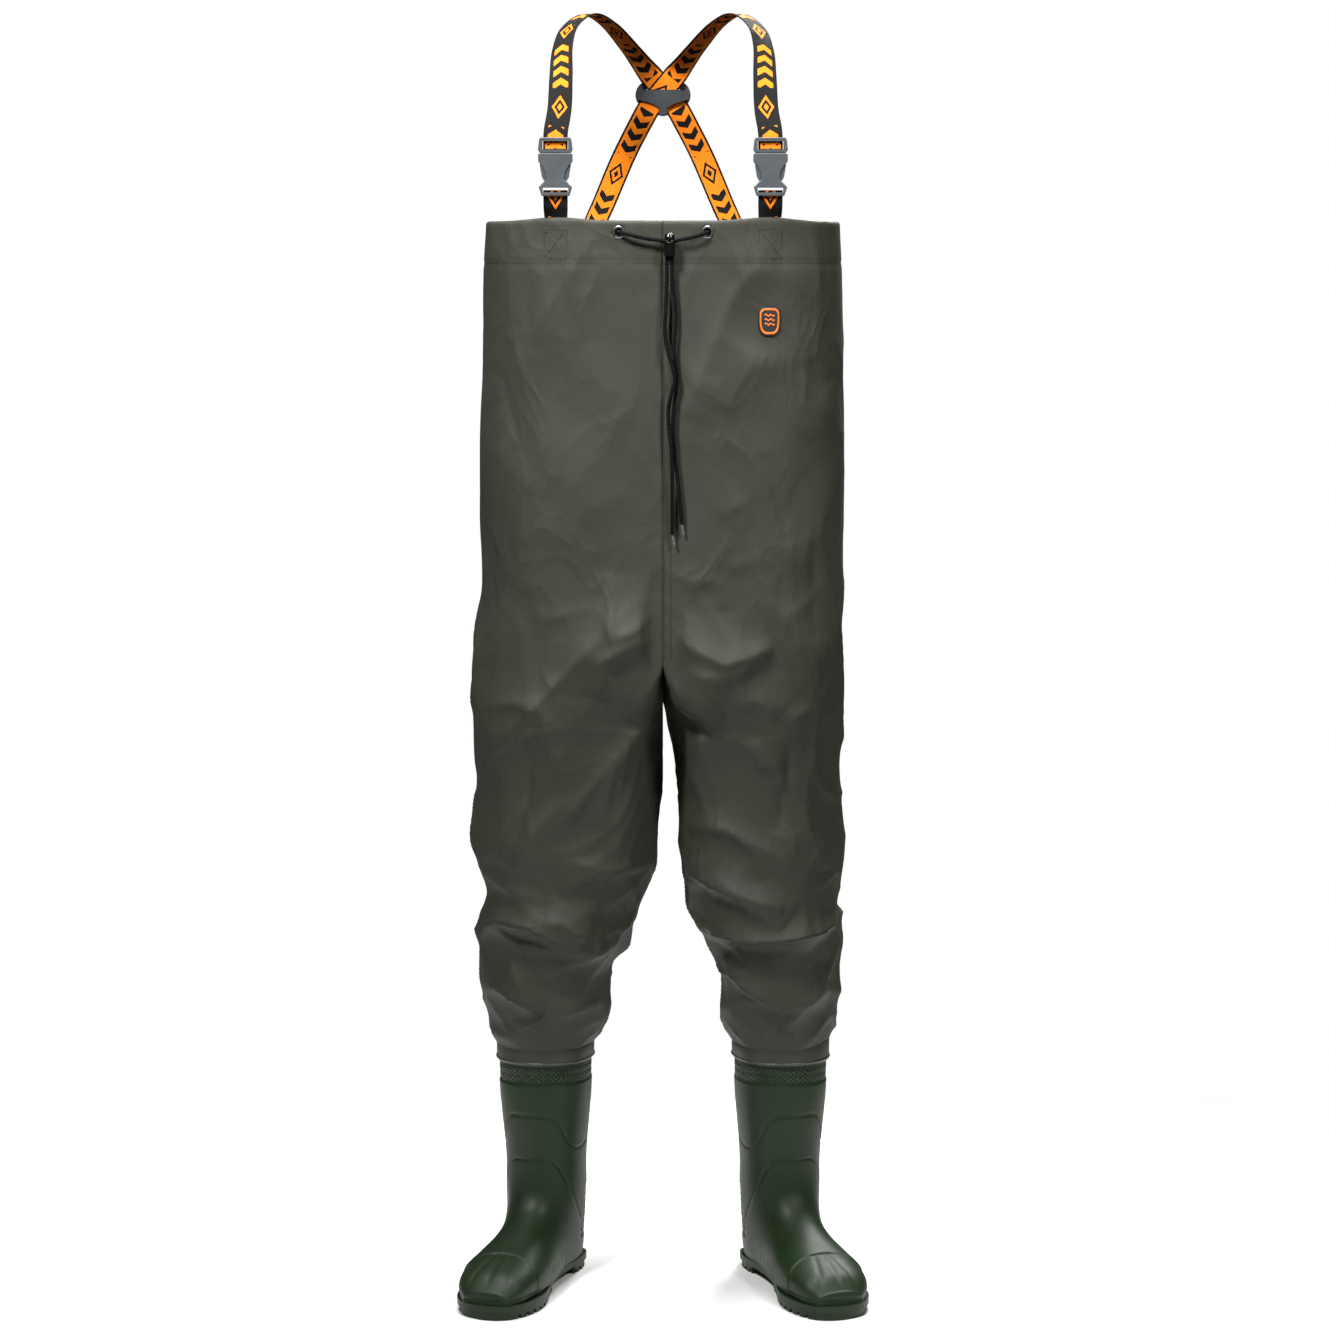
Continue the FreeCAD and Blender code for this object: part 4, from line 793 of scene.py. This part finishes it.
# ---- Webbing straps -----------------------------------------------------------------------
# Woven elastic webbing, 30 mm wide: black outside with orange figures, orange inside with
# black figures and selvedges. Short stubs hold the buckles; the braces cross at the back.
WEBBING_WIDTH = 30.0
WEBBING_THICKNESS = 1.8
REPEAT = 118.0
buckle_y = ((buckle_low.y + buckle_high.y) / 2 - torso_y) / MM
plug_top = buckle_high.z / MM
plate_y = (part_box("brace_cross_plate")[1].y - torso_y) / MM - 2.0
plate_z = hem_z + 160.0


def smooth_path(points, count):
    """Catmull-Rom curve through the points, each with any number of columns."""
    known = np.array(points, float)
    padded = np.vstack([2 * known[0] - known[1], known, 2 * known[-1] - known[-2]])
    at = np.linspace(0, len(known) - 1 - 1e-9, count)
    index = at.astype(int)
    t = (at - index)[:, None]
    a, b, c, d = (padded[index + k] for k in range(4))
    return 0.5 * (2 * b + (c - a) * t + (2 * a - 5 * b + 4 * c - d) * t ** 2
                  + (3 * b - a - 3 * c + d) * t ** 3)


def ribbon(name, stations, count, start_along, faces, sign=1.0):
    """Webbing along stations of x, y, z in mm and the turn of its width about Z in degrees.

    Its section is a flat oval: the width times cos a, half the thickness times sin a to the
    0.5, so that the faces stay flat and the edges are round.
    """
    path = smooth_path(stations, count)
    line, turn = path[:, :3], np.radians(path[:, 3])
    tangent = unit(np.gradient(line, axis=0))
    across = np.stack([np.cos(turn), np.sin(turn), np.zeros(count)], -1)
    normal = unit(np.cross(tangent, across))
    across = np.cross(normal, tangent)
    angle = np.linspace(0, 2 * math.pi, 21)
    flat = np.sign(np.cos(angle)) * np.abs(np.cos(angle)) ** 0.35 * WEBBING_WIDTH / 2
    thick = np.sign(np.sin(angle)) * np.abs(np.sin(angle)) ** 0.35 * WEBBING_THICKNESS / 2
    points = (line[:, None] + flat[None, :-1, None] * across[:, None]
              + thick[None, :-1, None] * normal[:, None])
    points[..., 0] *= sign
    along = start_along + np.concatenate([[0], np.cumsum(np.linalg.norm(np.diff(line, axis=0),
                                                                       axis=1))])
    uv = np.stack(np.broadcast_arrays(flat[None, :] + WEBBING_WIDTH / 2, along[:, None]), -1)
    slots = np.broadcast_to((np.arange(20) < 10).astype(int), (count - 1, 20))
    return make_surface(name, in_frame(points), uv * MM, faces, around=True, flip=sign < 0,
                        caps=True, slots=slots)


def webbing_material(name, ground, figure, selvedge):
    """Woven elastic: ribs across every 1.2 mm and woven-in figures, a row of chevrons and then a
    lozenge, that repeat along the strap."""
    material = blank_material(name)
    uv = add_node(material, "TexCoord", out="UV")
    split = add_node(material, "SeparateXYZ", {"Vector": uv}, out=0)
    along = material.node_tree.nodes[-1].outputs[1]
    centred = add_node(material, "Math", {0: split, 1: WEBBING_WIDTH / 2 * MM},
                       operation="SUBTRACT")
    aside = add_node(material, "Math", {0: centred}, operation="ABSOLUTE")
    turns = add_node(material, "Math", {0: along, 1: REPEAT * MM}, operation="DIVIDE")
    phase = add_node(material, "Math", {0: turns}, operation="FRACT")
    slanted = add_node(material, "Math", {0: aside, 1: 0.7, 2: along}, operation="MULTIPLY_ADD")
    steps = add_node(material, "Math", {0: slanted, 1: 17.5 * MM}, operation="DIVIDE")
    stripes = add_node(material, "Math", {0: steps}, operation="FRACT")
    bars = add_node(material, "Math", {0: stripes, 1: 0.52}, operation="LESS_THAN")
    inside = add_node(material, "Math", {0: aside, 1: 9.6 * MM}, operation="LESS_THAN")
    first = add_node(material, "Math", {0: phase, 1: 0.56}, operation="LESS_THAN")
    chevrons = add_node(material, "Math", {0: bars, 1: inside}, operation="MULTIPLY")
    chevrons = add_node(material, "Math", {0: chevrons, 1: first}, operation="MULTIPLY")
    from_middle = add_node(material, "Math", {0: phase, 1: 0.78}, operation="SUBTRACT")
    reach = add_node(material, "Math", {0: from_middle}, operation="ABSOLUTE")
    reach = add_node(material, "Math", {0: reach, 1: REPEAT * MM * 0.62}, operation="MULTIPLY")
    lozenge = add_node(material, "Math", {0: reach, 1: aside}, operation="ADD")
    ring_out = add_node(material, "Math", {0: lozenge, 1: 9.8 * MM}, operation="LESS_THAN")
    ring_in = add_node(material, "Math", {0: lozenge, 1: 6.6 * MM}, operation="GREATER_THAN")
    core = add_node(material, "Math", {0: lozenge, 1: 3.2 * MM}, operation="LESS_THAN")
    ring = add_node(material, "Math", {0: ring_out, 1: ring_in}, operation="MULTIPLY")
    figures = add_node(material, "Math", {0: chevrons, 1: ring}, operation="MAXIMUM")
    figures = add_node(material, "Math", {0: figures, 1: core}, operation="MAXIMUM")
    edge = add_node(material, "Math", {0: aside, 1: 12.5 * MM}, operation="GREATER_THAN")
    yarn = add_node(material, "TexNoise", {"Vector": add_node(
        material, "Mapping", {"Vector": uv, "Scale": (1600.0, 500.0, 1.0)}), "Scale": 1.0})
    base = add_node(material, "Mix", {0: yarn, 6: linear(ground[0]), 7: linear(ground[1])},
                    out=2, data_type="RGBA")
    drawn = add_node(material, "Mix", {0: yarn, 6: linear(figure[0]), 7: linear(figure[1])},
                     out=2, data_type="RGBA")
    colour = add_node(material, "Mix", {0: figures, 6: base, 7: drawn}, out=2, data_type="RGBA")
    colour = add_node(material, "Mix", {0: edge, 6: colour, 7: linear(selvedge)}, out=2,
                      data_type="RGBA")
    ribs = add_node(material, "TexWave", {"Vector": uv, "Scale": wave_scale(1.2 * MM),
                                          "Distortion": 0.6, "Detail Scale": 1.0}, out="Fac",
                    bands_direction="Y")
    cords = add_node(material, "TexWave", {"Vector": uv, "Scale": wave_scale(1.6 * MM),
                                           "Distortion": 0.3}, out="Fac", bands_direction="X")
    relief = add_node(material, "Math", {0: ribs, 1: cords}, operation="ADD")
    bump = add_node(material, "Bump", {"Height": relief, "Strength": 0.5,
                                       "Distance": 0.25 * MM})
    shader = add_node(material, "BsdfPrincipled", {
        "Base Color": colour, "Roughness": 0.75, "Specular IOR Level": 0.15, "Normal": bump})
    add_node(material, "OutputMaterial", {"Surface": shader})
    return material


ORANGE, BLACK = ("#E8720F", "#F58A1C"), ("#0B0B0B", "#151413")
webbing_out = webbing_material("woven elastic black face", BLACK, ORANGE, "#0E0E0D")
webbing_in = webbing_material("woven elastic orange face", ORANGE, BLACK, "#0E0E0D")

STRAP_INSET = 14.1                 # from the cloth's face to the middle of a sewn-in strap
CROSS_GAP, RING_GAP = 0.8, 2.2     # between the two straps, and between them and the plate


def inside_front(x):
    """Depth of a strap sewn inside the hem at x."""
    half_width, half_depth = 222.5 - STRAP_INSET, 138.0 - STRAP_INSET
    return half_depth * (1 - (abs(x) / half_width) ** TRUNK_ROUNDNESS) ** (1 / TRUNK_ROUNDNESS)


slot_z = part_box("left_stub_strap")[1].z / MM
low_z = STITCH_Z + 4.0
front_in = inside_front(buckle_x)
stub_stations = [(buckle_x, -front_in, low_z, 22), (buckle_x, -front_in, hem_z - 14, 22),
                 (buckle_x, -front_in, hem_z + 1, 20),
                 (buckle_x, -front_in + 0.7 * (buckle_y + front_in), hem_z + 18, 4),
                 (buckle_x, buckle_y, slot_z, 0)]
back_in = inside_front(90.0)
for side, sign, layer in (("right", -1, 0.0), ("left", 1, WEBBING_THICKNESS + CROSS_GAP)):
    stub = ribbon(side + "_stub_webbing", stub_stations, 60, 12.0, [webbing_out, webbing_in],
                  sign)
    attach(stub, "root")
    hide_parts(side + "_stub_strap")
    before = plate_y - WEBBING_THICKNESS / 2 - RING_GAP - layer
    stations = [(buckle_x, buckle_y + 3.4, plug_top - 12, 0),
                (buckle_x - 0.6, buckle_y + 5.6, plug_top + 8, 0),
                (buckle_x - 5, buckle_y + 17, hem_z + 137, 4),
                (buckle_x - 6.3, buckle_y + 34, hem_z + 176, 16),
                (buckle_x - 7.4, buckle_y + 60, hem_z + 212, 36),
                (buckle_x - 16, buckle_y + 89, hem_z + 240, 48),
                (93, 2, hem_z + 257.5, 50), (68, plate_y - 72, hem_z + 247, 44),
                (42, plate_y - 30 - layer, hem_z + 220, 26),
                (30, plate_y - 12.5 - layer, hem_z + 205.5, 14),
                (19, plate_y - 3.4 - layer, hem_z + 191.5, 4),
                (7.5, before, plate_z + 17.5, 0), (-5, before, plate_z + 2.5, 0),
                (-16.5, before, plate_z - 12, 0), (-26.5, before, plate_z - 29, 0),
                (-50.5, plate_y + 7, hem_z + 85, 4), (-76, back_in + 0.8, hem_z + 26, -9),
                (-90, back_in, hem_z - 7, -11), (-99, back_in - 2.6, low_z, -11)]
    brace = ribbon(side + "_brace_webbing", stations, 330, 40.0, [webbing_out, webbing_in], sign)
    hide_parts(side + "_brace")
    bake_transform(brace)
    turned_end = ribbon(side + "_brace_turned_end", [
        (buckle_x, buckle_y + 1.4, plug_top - 14.2, 0), (buckle_x, buckle_y + 1.9, plug_top - 10, 0),
        (buckle_x, buckle_y + 1.4, plug_top - 5.2, 0)], 12, 60.0, [webbing_in, webbing_in], sign)
    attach(turned_end, side + "_plug")

# ---- Buckles and cross plate --------------------------------------------------------------
# Side-release buckles and the plate that keeps the braces crossed, injection moulded in acetal
# with a fine spark-eroded texture; the webbing is threaded through their slots.


def acetal(name, dark, light, roughness):
    """Acetal: a waxy satin grey whose mould texture breaks the highlight up."""
    material = blank_material(name)
    place = add_node(material, "TexCoord", out="Object")
    grain = add_node(material, "TexNoise", {"Vector": place, "Scale": 1400.0, "Detail": 2.0})
    cloud = add_node(material, "TexNoise", {"Vector": place, "Scale": 60.0, "Detail": 2.0})
    colour = add_node(material, "Mix", {0: cloud, 6: linear(dark), 7: linear(light)}, out=2,
                      data_type="RGBA")
    gloss = add_node(material, "MapRange", {"Value": cloud, "To Min": roughness - 0.06,
                                            "To Max": roughness + 0.06})
    bump = add_node(material, "Bump", {"Height": grain, "Strength": 0.25,
                                       "Distance": 0.12 * MM})
    shader = add_node(material, "BsdfPrincipled", {"Base Color": colour, "Roughness": gloss,
                                                   "IOR": 1.48, "Normal": bump})
    add_node(material, "OutputMaterial", {"Surface": shader})
    return material


buckle_acetal = acetal("grey acetal", "#3F4346", "#4B5053", 0.4)
plate_acetal = acetal("dark grey acetal", "#34373A", "#3E4245", 0.44)
for node_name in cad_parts:
    if "_buckle_" in node_name:
        give(node_name, buckle_acetal)
give("brace_cross_plate", plate_acetal)

# ---- Chest badge --------------------------------------------------------------------------
# A small moulded silicone patch welded on the wearer's left chest: an orange rim and three
# plain waves on a black ground.


# silicone rubber: soft matt colour with a dusty bloom and tiny moulding grain
black_silicone, orange_silicone = (
    mottled(colour + " silicone", dark, light, 220.0, 4.0, gloss=0.55, relief=(0.2, 0.15 * MM))
    for colour, dark, light in (("black", "#15130F", "#201D18"), ("orange", "#D8641A", "#E87422")))
BADGE_HALF_WIDTH, BADGE_TOP, BADGE_BOTTOM = 13.5, 15.5, 20.0
# scale of the outline and height above the cloth, from the back round to the middle of the face
PATCH_ROWS = [(0.02, 0.3), (0.6, 0.3), (0.97, 0.3), (1.0, 0.9), (0.99, 1.8), (0.96, 2.2),
              (0.7, 2.3), (0.35, 2.3), (0.02, 2.3)]
RIM_ROWS = [(0.74, 1.9), (0.755, 2.8), (0.79, 3.1), (0.86, 3.1), (0.895, 2.8), (0.91, 1.9)]


def on_chest(across, up, height):
    """Points at a height above the flat part of the chest: its superellipse solved for depth."""
    half_width = curve_through(TRUNK_WIDTH["left"], up)
    half_depth = curve_through(TRUNK_DEPTH, up)
    share = (np.abs(across) / half_width) ** TRUNK_ROUNDNESS
    return in_frame(np.stack([across, -half_depth * (1 - share) ** (1 / TRUNK_ROUNDNESS) - height,
                              up], -1))


def shield(rows):
    """Rings of a shield: its width goes with the 0.55 power of cos a, its top with the 0.45
    power of sin a and its point with the 0.85 power, each times the row's scale."""
    scale = np.array([row[0] for row in rows])[:, None]
    height = np.array([row[1] for row in rows])[:, None]
    angle = np.linspace(0, 2 * math.pi, 97)[None, :-1]
    c, sn = np.cos(angle), np.sin(angle)
    across = BADGE_HALF_WIDTH * np.sign(c) * np.abs(c) ** 0.55
    up = np.where(sn > 0, BADGE_TOP * np.abs(sn) ** 0.45, -BADGE_BOTTOM * np.abs(sn) ** 0.85)
    return on_chest(BADGE_X + scale * across, BADGE_Z + scale * up, height + 0 * angle)


for name, rows, material, node_name in (
        ("badge_patch", PATCH_ROWS, black_silicone, "chest_badge"),
        ("badge_rim", RIM_ROWS, orange_silicone, "chest_badge_relief")):
    ring_uv = np.zeros((len(rows), 97, 2))
    badge_piece = make_surface(name, shield(rows), ring_uv, [material], around=True,
                               caps=name == "badge_patch")
    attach(badge_piece, "root")
    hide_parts(node_name)
for number, wave_up in enumerate((5.5, 0.0, -5.5)):
    along_wave = np.linspace(-6.0, 6.0, 60)
    wave_line = on_chest(BADGE_X + along_wave,
                         BADGE_Z + wave_up + 1.1 * np.sin(along_wave * math.pi / 3.0), 2.3)
    wave_line, wave_at = evenly(wave_line, 0.25 * MM)
    wave_piece = tube(f"badge_wave_{number + 1}", wave_line, wave_at,
                      lambda a, along: 0.9 * MM * np.ones_like(a * along), 12,
                      [orange_silicone])
    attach(wave_piece, "root")

# ---- Boots --------------------------------------------------------------------------------
# One-piece wellington boots in injection-moulded green PVC, with a knurled top band, raised
# panel lines, a ribbed heel counter and a toe cap. A cleated sole is moulded on below.
SHAFT_HALF_WIDTH, SHAFT_HALF_DEPTH = 59.0, 65.0
HEEL_BACK, FOOT_LENGTH, BALL_HALF_WIDTH = 68.0, 290.0, 52.0
BOOT_X = 152.0
toe = FOOT_LENGTH - HEEL_BACK
rim, shaft_side = SHAFT_HALF_DEPTH, SHAFT_HALF_WIDTH
# sections from the rim to the toe: front point, back point, half width, roundness
BOOT_SECTIONS = [(rim, boot_rim_z, -rim, boot_rim_z, shaft_side, 2.2),
                 (rim - 3, 235, -rim + 2, 232, shaft_side - 2.5, 2.2),
                 (rim - 9, 168, -rim + 6, 160, shaft_side - 8.5, 2.2),
                 (rim - 6, 128, -HEEL_BACK + 6, 105, shaft_side - 9.5, 2.2),
                 (rim + 5, 106, -HEEL_BACK, 52, shaft_side - 13, 2.2),
                 (rim + 22, 92, -HEEL_BACK + 10, 4, shaft_side - 15, 2.3),
                 (rim + 46, 80, 8, 6, BALL_HALF_WIDTH - 8, 2.4),
                 (toe - 82, 69, toe - 146, 5, BALL_HALF_WIDTH - 2, 2.5),
                 (toe - 52, 61, toe - 86, 5, BALL_HALF_WIDTH, 2.6),
                 (toe - 24, 51, toe - 36, 5, BALL_HALF_WIDTH - 6, 2.6),
                 (toe - 6, 36, toe - 9, 5, BALL_HALF_WIDTH - 20, 2.5)]
BAND_LOW, BAND_HIGH = 262.0, 284.0
# heights of the two raised panel lines at angles from the front to the back, in degrees
COLLAR_LINE = [(0, 222), (26, 222), (38, 214), (52, 188), (66, 176), (85, 174), (115, 186),
               (150, 196), (180, 198)]
VAMP_LINE = [(0, 163), (28, 163), (42, 152), (58, 128), (76, 104), (92, 80), (104, 58), (115, 30)]


def ridge(distance, half_width):
    """A rounded ridge one unit high: exp(-(d / half_width) ** 2)."""
    return np.exp(-(distance / half_width) ** 2)


def line_ridge(angle, z, table, half_width):
    """Ridge along a line given by its height at each angle, as wide on its slopes as elsewhere:
    a degree is about a millimetre round the shaft."""
    known = np.array(table, float)
    degrees = np.abs(np.degrees(angle))
    line = np.mean([np.interp(degrees + o, known[:, 0], known[:, 1]) for o in (-4, 0, 4)], axis=0)
    slope = (np.interp(degrees + 2, known[:, 0], known[:, 1])
             - np.interp(degrees - 2, known[:, 0], known[:, 1])) / 4
    return ridge((z - line) / np.sqrt(1 + slope ** 2), half_width)


def boot_grid(rows, columns):
    """Sections fan from the rim over the instep to the toe. Each is a superellipse between its
    front and back points, lying in the plane through them and the boot's width."""
    section = smooth_path(BOOT_SECTIONS, rows)
    front, back = section[:, 0:2], section[:, 2:4]
    centre, reach = (front + back) / 2, (front - back) / 2
    angle = np.linspace(-math.pi, math.pi, columns + 1)[None, :-1]
    power = 2 / section[:, 5:6]
    c = np.sign(np.cos(angle)) * np.abs(np.cos(angle)) ** power
    s = np.sign(np.sin(angle)) * np.abs(np.sin(angle)) ** power
    forward = centre[:, :1] + reach[:, :1] * c
    up = centre[:, 1:] + reach[:, 1:] * c
    side = section[:, 4:5] * s
    grid = np.stack([side, -forward, up], -1)
    middle = grid[-1].mean(0)
    size = np.cos(np.linspace(0, 1.53, 9)[1:])[:, None, None]
    nose = middle + (grid[-1] - middle) * size - np.array([0, 5.5, 0]) * np.sqrt(1 - size ** 2)
    share = np.concatenate([np.linspace(0, 1, rows), np.ones(8)])[:, None]
    return np.concatenate([grid, nose]), angle, share


def boot_upper():
    """The boot's grid with its band, panel lines, heel ribs, welt and toe cap raised."""
    points, angle, share = boot_grid(300, 180)
    x, y, z = points[..., 0], points[..., 1], points[..., 2]
    wrapped = np.concatenate([points[:, -1:], points, points[:, :1]], axis=1)
    normals = unit(np.cross(np.gradient(wrapped, axis=1), np.gradient(wrapped, axis=0)))[:, 1:-1]
    shaft = smooth_step((z - 40) / 20) * (share < 0.62)
    band = smooth_step((z - BAND_LOW) / 1.5) * smooth_step((boot_rim_z + 2 - z) / 1.5)
    lift = 1.1 * band
    for edge in (BAND_LOW + 1, BAND_LOW + 11.5, BAND_HIGH - 1.5):
        lift += 0.9 * ridge(z - edge, 1.0)
    lift += 1.3 * ridge(z - boot_rim_z + 2, 2.0)
    lift += 1.6 * line_ridge(angle, z, COLLAR_LINE, 1.5) * shaft
    lift += 1.6 * line_ridge(angle, z, VAMP_LINE, 1.5) * shaft
    behind = smooth_step((np.abs(np.degrees(angle)) - 96) / 8)
    counter = behind * smooth_step((z - 46) / 4) * smooth_step((118 - z) / 4) * (share < 0.62)
    chevron = z + 0.22 * np.abs(x)
    lift += counter * (0.7 + 1.5 * np.maximum(0, np.sin(2 * math.pi * chevron / 9.5)))
    forward = -y
    cap_line = toe - 74 + 14 * (x / BALL_HALF_WIDTH) ** 2
    capped = smooth_step((forward - cap_line) / 2.2) * (share > 0.55)
    lift += 1.3 * capped
    facet = ridge(x, 3.5) + 0.8 * ridge(np.abs(x) - 26 + 0.22 * (toe - forward), 4.0)
    lift += 1.0 * facet * capped * smooth_step((z - 24) / 10) * smooth_step((toe - 8 - forward) / 14)
    lift += 1.6 * ridge(z - 23, 2.6) * (share > 0.35) * smooth_step((forward - 30) / 40)
    dashes = np.maximum(0, np.sin(2 * math.pi * forward / 15)) ** 3
    lift += 0.9 * dashes * ridge(z - 38, 5) * (np.abs(x) > 28) * smooth_step((forward - 40) / 10) \
        * smooth_step((120 - forward) / 10)
    lift = np.where(z < 16, 0, lift)
    return points + normals * lift[..., None]


# injection-moulded PVC: dark green, satin, with a soft broad highlight and faint flow marks
pvc = blank_material("green moulded pvc")
pvc_place = add_node(pvc, "TexCoord", out="Object")
pvc_uv = add_node(pvc, "TexCoord", out="UV")
pvc_cloud = add_node(pvc, "TexNoise", {"Vector": pvc_place, "Scale": 9.0, "Detail": 3.0})
pvc_colour = add_node(pvc, "Mix", {0: pvc_cloud, 6: linear("#14240F"), 7: linear("#1A2B14")},
                      out=2, data_type="RGBA")
pvc_grain = add_node(pvc, "TexNoise", {"Vector": pvc_place, "Scale": 260.0, "Detail": 3.0})
pvc_orange_peel = add_node(pvc, "TexNoise", {"Vector": pvc_place, "Scale": 42.0, "Detail": 2.0})
pvc_split = add_node(pvc, "SeparateXYZ", {"Vector": pvc_place}, out=2)
pvc_in_band = add_node(pvc, "MapRange", {"Value": pvc_split, "From Min": (BAND_LOW + 1) * MM,
                                         "From Max": (BAND_LOW + 2) * MM})
pvc_below_rim = add_node(pvc, "MapRange", {"Value": pvc_split, "From Min": BAND_HIGH * MM,
                                           "From Max": (BAND_HIGH - 1) * MM})
pvc_band = add_node(pvc, "Math", {0: pvc_in_band, 1: pvc_below_rim}, operation="MULTIPLY")
KNURL = 4.6 * MM                   # real knurls lie 3 mm apart; drawn coarser to show
pvc_knurl = [add_node(pvc, "TexWave", {"Vector": add_node(
    pvc, "Mapping", {"Vector": pvc_uv, "Rotation": (0, 0, turn)}),
    "Scale": wave_scale(KNURL)}, out="Fac") for turn in (0.9, -0.9)]
pvc_knurl = add_node(pvc, "Math", {0: pvc_knurl[0], 1: pvc_knurl[1]}, operation="MINIMUM")
pvc_knurl = add_node(pvc, "Math", {0: pvc_knurl, 1: pvc_band}, operation="MULTIPLY")
pvc_bump = add_node(pvc, "Bump", {"Height": pvc_orange_peel, "Strength": 0.25,
                                  "Distance": 0.6 * MM})
pvc_bump = add_node(pvc, "Bump", {"Height": pvc_grain, "Strength": 0.15,
                                  "Distance": 0.2 * MM, "Normal": pvc_bump})
pvc_bump = add_node(pvc, "Bump", {"Height": pvc_knurl, "Strength": 1.0,
                                  "Distance": 1.6 * MM, "Normal": pvc_bump})
pvc_gloss = add_node(pvc, "MapRange", {"Value": pvc_orange_peel, "To Min": 0.42,
                                       "To Max": 0.56})
pvc_shader = add_node(pvc, "BsdfPrincipled", {"Base Color": pvc_colour, "Roughness": pvc_gloss,
                                              "IOR": 1.36, "Normal": pvc_bump})
add_node(pvc, "OutputMaterial", {"Surface": pvc_shader})

# knitted nylon lining and a felt-covered foam insole, pale grey, seen only from above
knit = blank_material("knitted nylon lining")
knit_loops = add_node(knit, "TexWave", {"Vector": add_node(knit, "TexCoord", out="Object"),
                                        "Scale": wave_scale(1.5 * MM), "Distortion": 1.5},
                      out="Fac", bands_direction="Z")
knit_bump = add_node(knit, "Bump", {"Height": knit_loops, "Strength": 0.4,
                                    "Distance": 0.3 * MM})
knit_colour = add_node(knit, "Mix", {0: knit_loops, 6: linear("#6F6F6A"), 7: linear("#8A8A84")},
                       out=2, data_type="RGBA")
knit_shader = add_node(knit, "BsdfPrincipled", {"Base Color": knit_colour, "Roughness": 0.9,
                                                "Normal": knit_bump})
add_node(knit, "OutputMaterial", {"Surface": knit_shader})
felt = mottled("felt covered foam", "#3E3E3C", "#5A5A56", 500.0, 5.0, gloss=0.95,
               relief=(0.4, 0.4 * MM), finish={"Sheen Weight": 0.3})

# the welded cuff where the leg meets the boot: thin PVC-coated strip with a clear glue bead
cuff_pvc = mottled("brown grey pvc strip", "#25241C", "#302E25", 55.0, 3.0, gloss=0.46,
                   relief=(0.3, 0.6 * MM))
glue = mottled("clear pvc weld bead", "#23271F", "#474D43", 120.0, gloss=0.3)


def placed_boot(points, side):
    """Boot-frame points turned outwards by the splay and stood under one leg, in the frame."""
    turn = math.radians(SPLAY)
    x = points[..., 0] * math.cos(turn) - points[..., 1] * math.sin(turn) + BOOT_X
    y = points[..., 0] * math.sin(turn) + points[..., 1] * math.cos(turn)
    sign = 1 if side == "left" else -1
    return in_frame(np.stack([x * sign, y, points[..., 2]], -1))


# rows of the cuff: distance outside the shaft and height above the rim
CUFF_ROWS = [(0.6, 24.0), (1.9, 23.2), (2.3, 21.0), (2.0, 12.0), (1.9, 4.0), (1.6, 1.2)]
BEAD_ROWS = [(1.4, 3.4), (2.6, 3.0), (3.1, 1.8), (2.7, 0.5), (1.4, -0.4)]


def shaft_ring(rows, waviness):
    """Rings round the shaft's top, each a superellipse grown by its distance outside."""
    angle = np.linspace(0, 2 * math.pi, 161)[None, :-1]
    grow = np.array([g for g, h in rows])[:, None]
    up = boot_rim_z + np.array([h for g, h in rows])[:, None]
    x, y = superellipse(angle, SHAFT_HALF_WIDTH + grow, SHAFT_HALF_DEPTH + grow, LEG_ROUNDNESS)
    lean = (4.0 * np.cos(angle) + waviness * np.sin(5 * angle)) * (up - boot_rim_z) / 24
    return np.stack(np.broadcast_arrays(x, y, up + lean), -1)


boot_points = boot_upper()
boot_around = np.arange(181) * 2.05
boot_down = np.concatenate([[0], np.cumsum(np.linalg.norm(np.diff(boot_points[:, 90], axis=0),
                                                          axis=1))])
boot_uv = np.stack(np.broadcast_arrays(boot_around[None, :], boot_down[:, None]), -1) * MM
for side in ("left", "right"):
    placed = placed_boot(boot_points, side)
    upper = make_surface(side + "_boot_shell", placed, boot_uv, [pvc], around=True,
                         flip=side == "left", caps="last")
    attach(upper, "root")
    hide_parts(side + "_boot_upper")
    give(side + "_boot_outsole", pvc)
    give(side + "_boot_lining", knit)
    give(side + "_boot_insole", felt)
    for name, rows, material, waviness in (("_cuff_strip", CUFF_ROWS, cuff_pvc, 1.0),
                                           ("_weld_bead", BEAD_ROWS, glue, 0.3)):
        ring = placed_boot(shaft_ring(rows, waviness), side)
        ring_uv = np.stack(np.broadcast_arrays(np.arange(161) * 2.4 * MM,
                                               np.arange(len(rows))[:, None] * 3 * MM), -1)
        strip = make_surface(side + name, ring, ring_uv, [material], around=True,
                             flip=side == "left")
        thicken(strip, 0.5 * MM)
        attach(strip, "root")
        if name == "_cuff_strip":
            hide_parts(side + "_leg_cuff_band")
